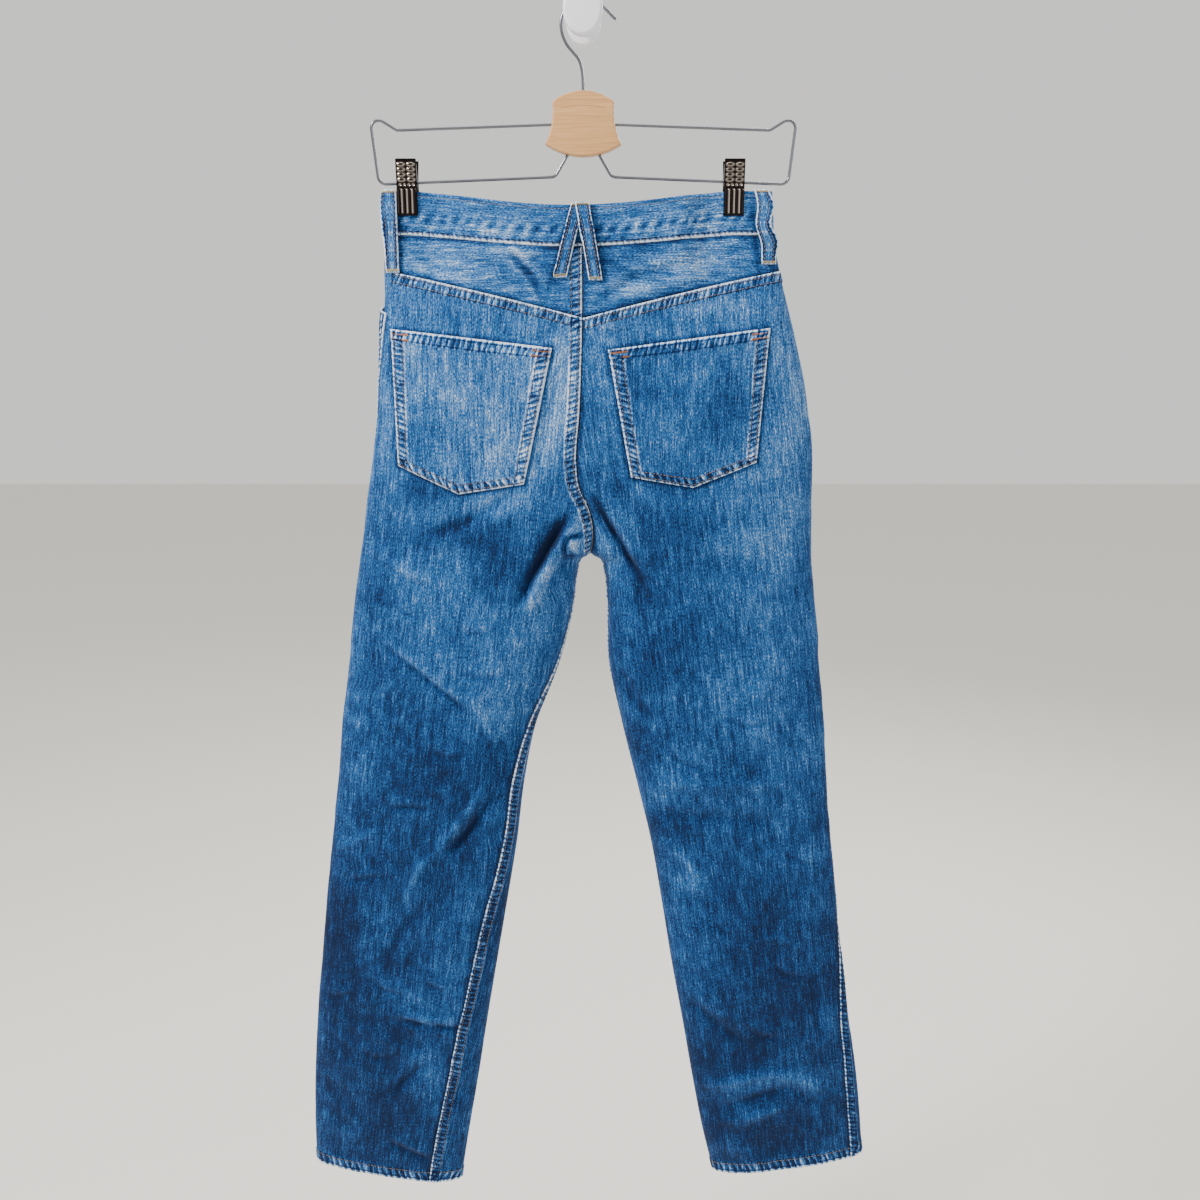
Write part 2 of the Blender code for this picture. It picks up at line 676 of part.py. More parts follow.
def build_waistband():
    z_mid = BAND_TOP_Z - BAND_TALL / 2
    girth = sum(width_at(s, f, z_mid) for s in SECTIONS for f in ("back", "front"))
    length = girth + OVERLAP
    columns, rows = 68, 3
    step_in = BAND_THICK + SEAM_GAP

    def place(i, j):
        distance = length * i / columns
        side, face, share = band_share(max(distance, 0.0005))
        x = skin_point(side, face, share, z_mid)[0]
        z = band_top(face, x) + (band_low(face, x) - band_top(face, x)) * j / rows
        under = step_in * smooth_step((distance - girth + 0.030) / 0.026)
        out = BAND_OUT - under
        return offset_pair(side, face, share, z, out, out - BAND_THICK)

    return wall("waistband", columns, rows, place)


def lying_pair(side, x, z, low, high):
    """A place on the back at (x, z), moved out to the two heights."""
    step = 0.003

    def at(px, pz):
        return face_point(side, "back", px, pz)

    across = at(x + step, z) - at(x - step, z)
    down = at(x, z - step) - at(x, z + step)
    normal = np.cross(down, across)
    normal = normal / np.linalg.norm(normal)
    point = at(x, z)
    return Vector(point + normal * high), Vector(point + normal * low)


def pocket_place(pocket, across, down):
    """(x, z) in a back pocket: across and down run from 0 to 1."""
    tip = 0.5
    top = np.array(pocket.left_top) * (1 - across) + np.array(pocket.right_top) * across
    ends = (pocket.left_low, pocket.point) if across <= tip else (pocket.point, pocket.right_low)
    t = across / tip if across <= tip else (across - tip) / (1 - tip)
    low = np.array(ends[0]) * (1 - t) + np.array(ends[1]) * t
    return top * (1 - down) + low * down


def build_pocket(side):
    columns, rows = 12, 9

    def place(i, j):
        x, z = pocket_place(POCKETS[side], i / columns, j / rows)
        return lying_pair(side, x, z, LAY_GAP, LAY_GAP + POCKET_THICK)

    return wall(f"back_pocket_{side}", columns, rows, place, "denim_worn")


def share_at_x(side, face, x, z):
    """Where on a face, or just past its outseam, the surface first reaches a given x."""
    shares = np.linspace(0.0, 1.1, ARC_SAMPLES)
    away = -1.0 if side == "left" else 1.0
    run = [away * skin_point(side, face, share, z)[0] for share in shares]
    last = int(np.argmax(run)) + 1
    return float(np.interp(away * x, run[:last], shares[:last]))


def build_loop(loop):
    columns, rows = loop.columns, 10
    top = band_top(loop.face, loop.top_x) + 0.0012
    low = band_low(loop.face, loop.low_x)

    def place(i, j):
        t = j / rows
        z = top + (loop.low_z - top) * t
        middle = share_at_x(loop.side, loop.face, loop.top_x + (loop.low_x - loop.top_x) * t, z)
        across = LOOP_WIDE * (i / columns - 0.5) / width_at(loop.side, loop.face, z)
        on_band = 1 - smooth_step((low - z + 0.002) / 0.010)
        rest = LAY_GAP + SEAM_GAP + BAND_OUT * on_band
        start, span = LOOP_OVER_SPAN
        rest += loop.over * (1 - smooth_step((t - start) / span))
        lift = rest + loop.bow * math.sin(math.pi * t) ** 0.7
        share = middle + across
        return offset_pair(loop.side, loop.face, share, z, lift + LOOP_THICK, lift)

    return wall(loop.name, columns, rows, place, "denim_worn")


def build_fly():
    """The fly's lap on the left front, with its lower corner rounded off."""
    columns, rows = 3, 11

    def place(i, j):
        top = front_top("left", 0.05)
        z = top + (FLY_LOW_Z - top) * j / rows
        above = max(z - FLY_LOW_Z, 0.0)
        cut = 1.0 - min(above / FLY_ROUND, 1.0)
        wide = 0.004 + (FLY_WIDE - 0.004) * math.sqrt(1.0 - cut**2)
        share = (0.0004 + wide * i / columns) / width_at("left", "front", z)
        return offset_pair("left", "front", share, z, LAY_GAP + FLY_THICK, LAY_GAP)

    return wall("fly", columns, rows, place)


def build_button():
    """A domed metal button on the waistband's front, turned about its own axis."""
    z = band_top("front", BUTTON_X) - BAND_TALL / 2
    share = abs(BUTTON_X) / width_at("left", "front", z)
    seat, _ = offset_pair("left", "front", share, z, BAND_OUT + SEAM_GAP, 0.0)
    normal = Vector(skin_normal("left", "front", share, z))
    rim, crown = 0.0016, 0.0026
    profile = (
        (0.0, 0.0018),
        (BUTTON_RADIUS * 0.62, 0.0018),
        (BUTTON_RADIUS * 0.80, crown),
        (BUTTON_RADIUS * 0.93, crown - 0.0003),
        (BUTTON_RADIUS, rim),
        (BUTTON_RADIUS * 0.96, 0.0004),
        (BUTTON_RADIUS * 0.80, 0.0),
        (0.0, 0.0),
    )
    bm = bmesh.new()
    points = [bm.verts.new((r, 0.0, h)) for r, h in profile]
    for a, b in zip(points, points[1:]):
        bm.edges.new((a, b))
    mesh = bpy.data.meshes.new("waist_button")
    bm.to_mesh(mesh)
    bm.free()
    obj = new_object("waist_button", mesh, "button_metal", smooth=False)
    turn = obj.modifiers.new("turn", "SCREW")
    turn.axis = "Z"
    turn.steps = turn.render_steps = 20
    turn.use_merge_vertices = True
    turn.merge_threshold = 0.00001
    turn.use_normal_calculate = True
    obj.rotation_mode = "QUATERNION"
    obj.rotation_quaternion = normal.to_track_quat("Z", "Y")
    obj.location = seat
    return obj


def build_hem(side):
    """The turned-up end of a leg: a ring inside the panels, level with their edge."""
    around = 2 * PANEL_COLUMNS
    lift = CLOTH + LAY_GAP

    def place(i, j):
        column = i % around
        face = "back" if column <= PANEL_COLUMNS else "front"
        share = column_share(column if face == "back" else around - column)
        z = tilted(side, face, share, HEM_Z + HEM_TALL * (1 - j))
        return offset_pair(side, face, share, z, -lift, -lift - CLOTH)

    return wall(f"hem_{side}", around, 1, place, closed=True)


def filleted(corners, radii, steps=4):
    """A path through sharp corners, with each inner one rounded to its radius."""
    path = [Vector(corners[0])]
    for before, corner, after, radius in zip(corners, corners[1:], corners[2:], radii):
        corner = Vector(corner)
        back = (Vector(before) - corner).normalized()
        on = (Vector(after) - corner).normalized()
        half = back.angle(on) / 2
        reach = radius / math.tan(half)
        centre = corner + (back + on).normalized() * (radius / math.sin(half))
        start = corner + back * reach - centre
        end = corner + on * reach - centre
        for k in range(steps + 1):
            path.append(centre + start.slerp(end, k / steps) * radius)
    path.append(Vector(corners[-1]))
    return path


def smooth_path(points, per_span=2):
    """A smooth curve through the points."""
    found = []
    ends = [points[0], *points, points[-1]]
    for a, b, c, d in zip(ends, ends[1:], ends[2:], ends[3:]):
        for k in range(per_span):
            t = k / per_span
            spot = Vector((0, 0, 0))
            weights = (
                -0.5 * t + t * t - 0.5 * t**3,
                1 - 2.5 * t * t + 1.5 * t**3,
                0.5 * t + 2 * t * t - 1.5 * t**3,
                -0.5 * t * t + 0.5 * t**3,
            )
            for weight, point in zip(weights, (a, b, c, d)):
                spot += weight * Vector(point)
            found.append(spot)
    found.append(Vector(points[-1]))
    return found


def wire_curve(name, path, radius):
    """A round wire along a path, as a mesh with closed ends."""
    data = bpy.data.curves.new(name, "CURVE")
    data.dimensions = "3D"
    data.bevel_depth = radius
    data.bevel_resolution = 2
    data.use_fill_caps = True
    spline = data.splines.new("POLY")
    spline.points.add(len(path) - 1)
    for point, place in zip(spline.points, path):
        point.co = (*place, 1.0)
    guide = bpy.data.objects.new(name + "_guide", data)
    jeans.objects.link(guide)
    graph = bpy.context.evaluated_depsgraph_get()
    mesh = bpy.data.meshes.new_from_object(guide.evaluated_get(graph))
    bpy.data.objects.remove(guide)
    bm = bmesh.new()
    bm.from_mesh(mesh)
    bmesh.ops.remove_doubles(bm, verts=bm.verts, dist=0.00001)
    bmesh.ops.recalc_face_normals(bm, faces=bm.faces)
    bm.to_mesh(mesh)
    bm.free()
    mesh.name = name
    mesh.materials.clear()
    return mesh


def hanger_paths():
    """The centre lines of the hanger's three wires, in the hanging plane."""
    arm = (
        (0.0180, -0.0876),
        (0.1600, -0.0925),
        (0.1728, -0.0848),
        (0.1825, -0.0845),
        (0.1770, -0.1367),
        (0.0245, -0.1305),
        (0.0085, -0.1040),
    )
    radii = (0.004, 0.005, 0.006, 0.007, 0.006)
    hook = (
        (0.0000, -0.0720),
        (0.0000, -0.0590),
        (-0.0008, -0.0460),
        (-0.0034, -0.0366),
        (-0.0086, -0.0303),
        (-0.0138, -0.0242),
        (-0.0174, -0.0165),
        (-0.0186, -0.0085),
        (-0.0170, -0.0003),
        (-0.0125, 0.0068),
        (-0.0063, 0.0110),
        (0.0000, POST_RADIUS + WIRE_CLEAR + WIRE_RADIUS),
        (0.0066, 0.0113),
        (0.0130, 0.0084),
        (0.0186, 0.0040),
        (0.0235, -0.0008),
        (0.0277, -0.0046),
    )
    paths = {"hanger_hook": smooth_path([(x, HANG_Y, z) for x, z in hook])}
    for side, sign in (("left", -1), ("right", 1)):
        corners = [(sign * x, HANG_Y, z) for x, z in arm]
        paths[f"hanger_wire_{side}"] = filleted(corners, radii)
    return paths


def arc_between(start, end, sag, steps):
    """Points on a circular arc from start to end; sag is its height, to the path's left."""
    a, b = Vector(start), Vector(end)
    chord = b - a
    left = Vector((-chord.y, chord.x)).normalized()
    radius = (chord.length_squared / 4 + sag * sag) / (2 * abs(sag))
    centre = (a + b) / 2 + left * (sag - math.copysign(radius, sag))
    first, last = a - centre, b - centre
    return [centre + first.slerp(last, k / steps) * radius for k in range(steps)]


def build_block(paths):
    """The wooden block that the hanger's wires are set into."""
    corners = (
        (-BLOCK_HALF_TOP, BLOCK_TOP_Z),
        (BLOCK_HALF_TOP, BLOCK_TOP_Z),
        (BLOCK_HALF_LOW, BLOCK_LOW_Z),
        (-BLOCK_HALF_LOW, BLOCK_LOW_Z),
    )
    outline = arc_between(corners[0], corners[1], BLOCK_CROWN, 8)
    outline += arc_between(corners[1], corners[2], -BLOCK_WAIST, 4)
    outline += arc_between(corners[2], corners[3], BLOCK_BELLY, 8)
    outline += arc_between(corners[3], corners[0], -BLOCK_WAIST, 4)
    front, back = HANG_Y - BLOCK_THICK / 2, HANG_Y + BLOCK_THICK / 2
    loops = [[(p.x, y, p.y) for p in outline] for y in (front, back)]
    block = loft("hanger_block", loops, "wood")
    edges = block.modifiers.new("soft_edges", "BEVEL")
    edges.width = 0.0012
    edges.segments = 1
    edges.limit_method = "ANGLE"
    edges.angle_limit = math.radians(60)
    for name, path in paths.items():
        start = path[0] + (path[0] - path[1]).normalized() * WIRE_CLEAR
        end = path[-1] + (path[-1] - path[-2]).normalized() * WIRE_CLEAR
        longer = [start, *path[1:-1], end]
        mesh = wire_curve(name + "_hole", longer, WIRE_RADIUS + WIRE_CLEAR)
        cutter = bpy.data.objects.new(name + "_hole", mesh)
        cutters.objects.link(cutter)
        cutter.hide_render = True
        cutter.display_type = "WIRE"
        hole = block.modifiers.new("hole_for_" + name, "BOOLEAN")
        hole.operation = "DIFFERENCE"
        hole.object = cutter
    return block


def bar_height(x, path):
    """Height of the hanger's lower bar at x, from its wire's path."""
    low = [p for p in path if p.z < -0.125]
    low.sort(key=lambda p: p.x)
    return float(np.interp(x, [p.x for p in low], [p.z for p in low]))


def build_clip(side, path):
    """Two sheet-metal jaws and the spring barrel that turns on the lower bar."""
    x = CLIP_X[side]
    bar = bar_height(x, path)
    half = CLIP_WIDE / 2
    grip = PINCH_DEPTH + BAND_OUT + SEAM_GAP
    # height, the sheet's inner face from the hanging plane, and the flange's tip from it
    stations = (
        (CLIP_LOW_Z, grip, grip - 0.0001),
        (CLIP_LOW_Z + 0.0120, grip + 0.0002, grip),
        (BAND_TOP_Z + 0.0005, grip + 0.0008, grip + 0.0002),
        (bar - 0.0010, SPRING_RADIUS + 0.0003, WIRE_RADIUS + 0.0004),
        (bar + 0.0040, SPRING_RADIUS + 0.0012, WIRE_RADIUS + 0.0004),
        (CLIP_TOP_Z - 0.0060, SPRING_RADIUS + 0.0026, SPRING_RADIUS),
        (CLIP_TOP_Z, SPRING_RADIUS + 0.0033, SPRING_RADIUS + 0.0030),
    )
    for face, sign in (("front", -1), ("back", 1)):
        loops = []
        for z, inside, tip in stations:
            outside = inside + JAW_SHEET
            section = (
                (-half, tip), (-half, outside), (half, outside), (half, tip),
                (half - JAW_SHEET, tip), (half - JAW_SHEET, inside),
                (-half + JAW_SHEET, inside), (-half + JAW_SHEET, tip),
            )
            loops.append([(x + px, HANG_Y + sign * py, z) for px, py in section])
        loft(f"clip_{side}_{face}_jaw", loops, "clip_metal")
    build_spring(side, x, bar)


def build_spring(side, x, bar):
    """The clip's spring, as the plain barrel it winds round the bar."""
    half = CLIP_WIDE / 2 - JAW_SHEET - SEAM_GAP
    inner = WIRE_RADIUS + WIRE_CLEAR + 0.0002
    bm = bmesh.new()
    profile = ((SPRING_RADIUS, -half), (SPRING_RADIUS, half), (inner, half), (inner, -half))
    points = [bm.verts.new((r, 0.0, h)) for r, h in profile]
    for a, b in zip(points, points[1:] + points[:1]):
        bm.edges.new((a, b))
    name = f"clip_{side}_spring"
    mesh = bpy.data.meshes.new(name)
    bm.to_mesh(mesh)
    bm.free()
    obj = new_object(name, mesh, "wire", smooth=False)
    turn = obj.modifiers.new("turn", "SCREW")
    turn.steps = turn.render_steps = 16
    turn.use_merge_vertices = True
    turn.merge_threshold = 0.00001
    turn.use_normal_calculate = True
    turn.use_normal_flip = True
    obj.rotation_euler = (0.0, math.pi / 2, 0.0)
    obj.location = (x, HANG_Y, bar)


def ellipse_loop(half, y, grow=0.0, steps=28):
    turns = [2 * math.pi * k / steps for k in range(steps)]
    return [((half[0] + grow) * math.cos(t), y, (half[1] + grow) * math.sin(t)) for t in turns]


def build_wall_hook():
    """Base plate on the wall, post that carries the hanger, and oval knob."""
    base = [
        ellipse_loop(BASE_HALF, 0.0),
        ellipse_loop(BASE_HALF, -BASE_DEEP + 0.002),
        ellipse_loop(BASE_HALF, -BASE_DEEP, -0.002),
    ]
    loft("wall_hook_base", base, "white_plastic")
    round_post = (POST_RADIUS, POST_RADIUS)
    post = [
        ellipse_loop(round_post, -BASE_DEEP - SEAM_GAP),
        ellipse_loop(round_post, KNOB_BACK_Y + SEAM_GAP),
    ]
    loft("wall_hook_post", post, "white_plastic")
    knob = [
        ellipse_loop(KNOB_HALF, KNOB_BACK_Y, -0.0035),
        ellipse_loop(KNOB_HALF, KNOB_BACK_Y - 0.003, -0.0008),
        ellipse_loop(KNOB_HALF, KNOB_BACK_Y - 0.007),
        ellipse_loop(KNOB_HALF, KNOB_FRONT_Y + 0.0015),
        ellipse_loop(KNOB_HALF, KNOB_FRONT_Y, -0.0015),
    ]
    loft("wall_hook_knob", knob, "white_plastic")


for old in list(bpy.data.objects):
    bpy.data.objects.remove(old)
jeans = bpy.data.collections.new("jeans_on_clip_hanger")
cutters = bpy.data.collections.new("cutters")
bpy.context.scene.collection.children.link(jeans)
bpy.context.scene.collection.children.link(cutters)

for each_side in ("left", "right"):
    build_back(each_side)
    build_yoke(each_side)
    build_front(each_side)
    build_facing(each_side)
    build_pocket(each_side)
    build_hem(each_side)
build_waistband()
for each_loop in LOOPS:
    build_loop(each_loop)
build_fly()
build_button()

wires = hanger_paths()
for wire_name, wire_path in wires.items():
    new_object(wire_name, wire_curve(wire_name, wire_path, WIRE_RADIUS), "wire")
build_block(wires)
for each_side in ("left", "right"):
    build_clip(each_side, wires[f"hanger_wire_{each_side}"])
build_wall_hook()
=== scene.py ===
import math

import bmesh
import bpy
import numpy as np
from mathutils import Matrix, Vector


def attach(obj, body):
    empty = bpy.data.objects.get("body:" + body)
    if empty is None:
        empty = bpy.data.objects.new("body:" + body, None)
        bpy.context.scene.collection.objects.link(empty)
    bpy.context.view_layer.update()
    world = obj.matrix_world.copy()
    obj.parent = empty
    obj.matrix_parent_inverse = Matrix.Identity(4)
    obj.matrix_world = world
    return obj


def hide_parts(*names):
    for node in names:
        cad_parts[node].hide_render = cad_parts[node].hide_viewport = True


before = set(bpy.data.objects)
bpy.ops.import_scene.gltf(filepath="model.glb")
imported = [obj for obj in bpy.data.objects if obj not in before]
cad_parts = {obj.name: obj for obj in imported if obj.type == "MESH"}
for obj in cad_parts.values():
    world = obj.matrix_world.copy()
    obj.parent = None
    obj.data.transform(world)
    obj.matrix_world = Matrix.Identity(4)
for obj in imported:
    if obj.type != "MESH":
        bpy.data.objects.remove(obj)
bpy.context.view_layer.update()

# metres; the wall is y = 0, the garment's back faces -y, and its left side is at -x
sides, faces = ("left", "right"), ("back", "front")
away = {"left": -1.0, "right": 1.0}
outward = {"back": -1.0, "front": 1.0}
other = {"left": "right", "right": "left", "back": "front", "front": "back"}
body = {
    "hangY": -0.028,
    "crotch": -0.460,
    "curveTop": -0.330,
    "edgePower": 2.35,
    "innerRound": 0.40,
    "hem": -1.103,
    "gap": 0.0003,
}
# a row a level: z, the depth at the back and front, and each leg's inner edge, outer edge,
# and how far its outseam and its inseam turn round the edge
legRows = (
    (-0.142, 0.0135, 0.0125, 0, -0.1715, 0.013, 0, 0, 0.163, -0.007, 0),
    (-0.18, 0.017, 0.015, 0, -0.175, 0.014, 0, 0, 0.166, -0.007, 0),
    (-0.215, 0.0215, 0.018, 0, -0.178, 0.014, 0, 0, 0.1735, -0.008, 0),
    (-0.26, 0.0265, 0.0215, 0, -0.181, 0.01, 0, 0, 0.186, -0.008, 0),
    (-0.312, 0.03, 0.0245, 0, -0.1842, 0.004, 0, 0, 0.1985, -0.008, 0),
    (-0.366, 0.0315, 0.0255, 0, -0.1902, -0.002, 0, 0, 0.2068, -0.008, 0),
    (-0.42, 0.0315, 0.0255, 0, -0.1998, -0.007, 0, 0, 0.2078, -0.008, 0),
    (-0.46, 0.031, 0.0255, 0.005, -0.2063, -0.009, 0, 0.005, 0.2095, -0.008, 0),
    (-0.466, 0.0309, 0.0255, -0.003, -0.2073, -0.009, 0, 0.0148, 0.21, -0.008, 0),
    (-0.475, 0.0308, 0.0255, -0.0056, -0.2088, -0.01, 0, 0.0178, 0.211, -0.008, 0),
    (-0.505, 0.0304, 0.0252, -0.0098, -0.2138, -0.011, 0.001, 0.021, 0.2145, -0.008, -0.001),
    (-0.562, 0.029, 0.0245, -0.0235, -0.2215, -0.012, 0.006, 0.0225, 0.2207, -0.007, -0.002),
    (-0.622, 0.0275, 0.0235, -0.0455, -0.2312, -0.013, 0.014, 0.0345, 0.2274, -0.006, -0.003),
    (-0.682, 0.0262, 0.0225, -0.058, -0.2377, -0.014, 0.019, 0.049, 0.2328, -0.005, -0.004),
    (-0.744, 0.025, 0.0215, -0.066, -0.2465, -0.016, 0.0205, 0.0635, 0.2392, -0.003, -0.005),
    (-0.807, 0.0238, 0.0205, -0.0765, -0.2548, -0.018, 0.0262, 0.0745, 0.247, 0, -0.006),
    (-0.872, 0.0226, 0.0195, -0.0877, -0.2631, -0.02, 0.0305, 0.085, 0.2562, 0.0072, -0.007),
    (-0.938, 0.0214, 0.0185, -0.099, -0.2707, -0.022, 0.0342, 0.097, 0.266, 0.0145, -0.008),
    (-1.006, 0.0202, 0.0172, -0.11, -0.2765, -0.025, 0.0362, 0.1088, 0.2768, 0.0175, -0.009),
    (-1.06, 0.0192, 0.016, -0.1195, -0.279, -0.027, 0.0382, 0.119, 0.283, 0.0178, -0.01),
    (-1.13, 0.018, 0.015, -0.131, -0.2785, -0.029, 0.0385, 0.136, 0.2895, 0.0175, -0.01),
)
columnNames = ("back", "front", "inner", "outer", "outTurn", "inTurn")
seatSeam = (
    (-0.190, -0.001),
    (-0.260, -0.001),
    (-0.330, -0.0035),
    (-0.375, -0.0065),
    (-0.395, -0.0045),
    (-0.420, 0.0055),
    (-0.445, 0.0080),
    (-0.460, 0.0050),
)
hemLine = {"left": (-1.1085, -0.148, -0.203), "right": (-1.0985, 0.132, 0.209)}
# the yoke's seam is height + slope * |x| + bend * x * x
yokeSeam = (-0.2495, 0.262, -0.16)
bandEdge = {"top": -0.1425, "tall": 0.0365, "narrowed": 0.002, "sag": {"back": 0.0122, "front": 0.0155}}
clipX = {"left": -0.1522, "right": 0.1300}
clip = {
    "half": 0.0089,
    "top": -0.1165,
    "low": -0.1630,
    "sheet": 0.0010,
    "grip": 0.0035,
    "clear": 0.0011,
    "rib": 0.0013,
    "dot": 0.0006,
    "rim": 0.0011,
    "coil": 0.0036,
    "coilWire": 0.0008,
    "coilLong": 0.0136,
}

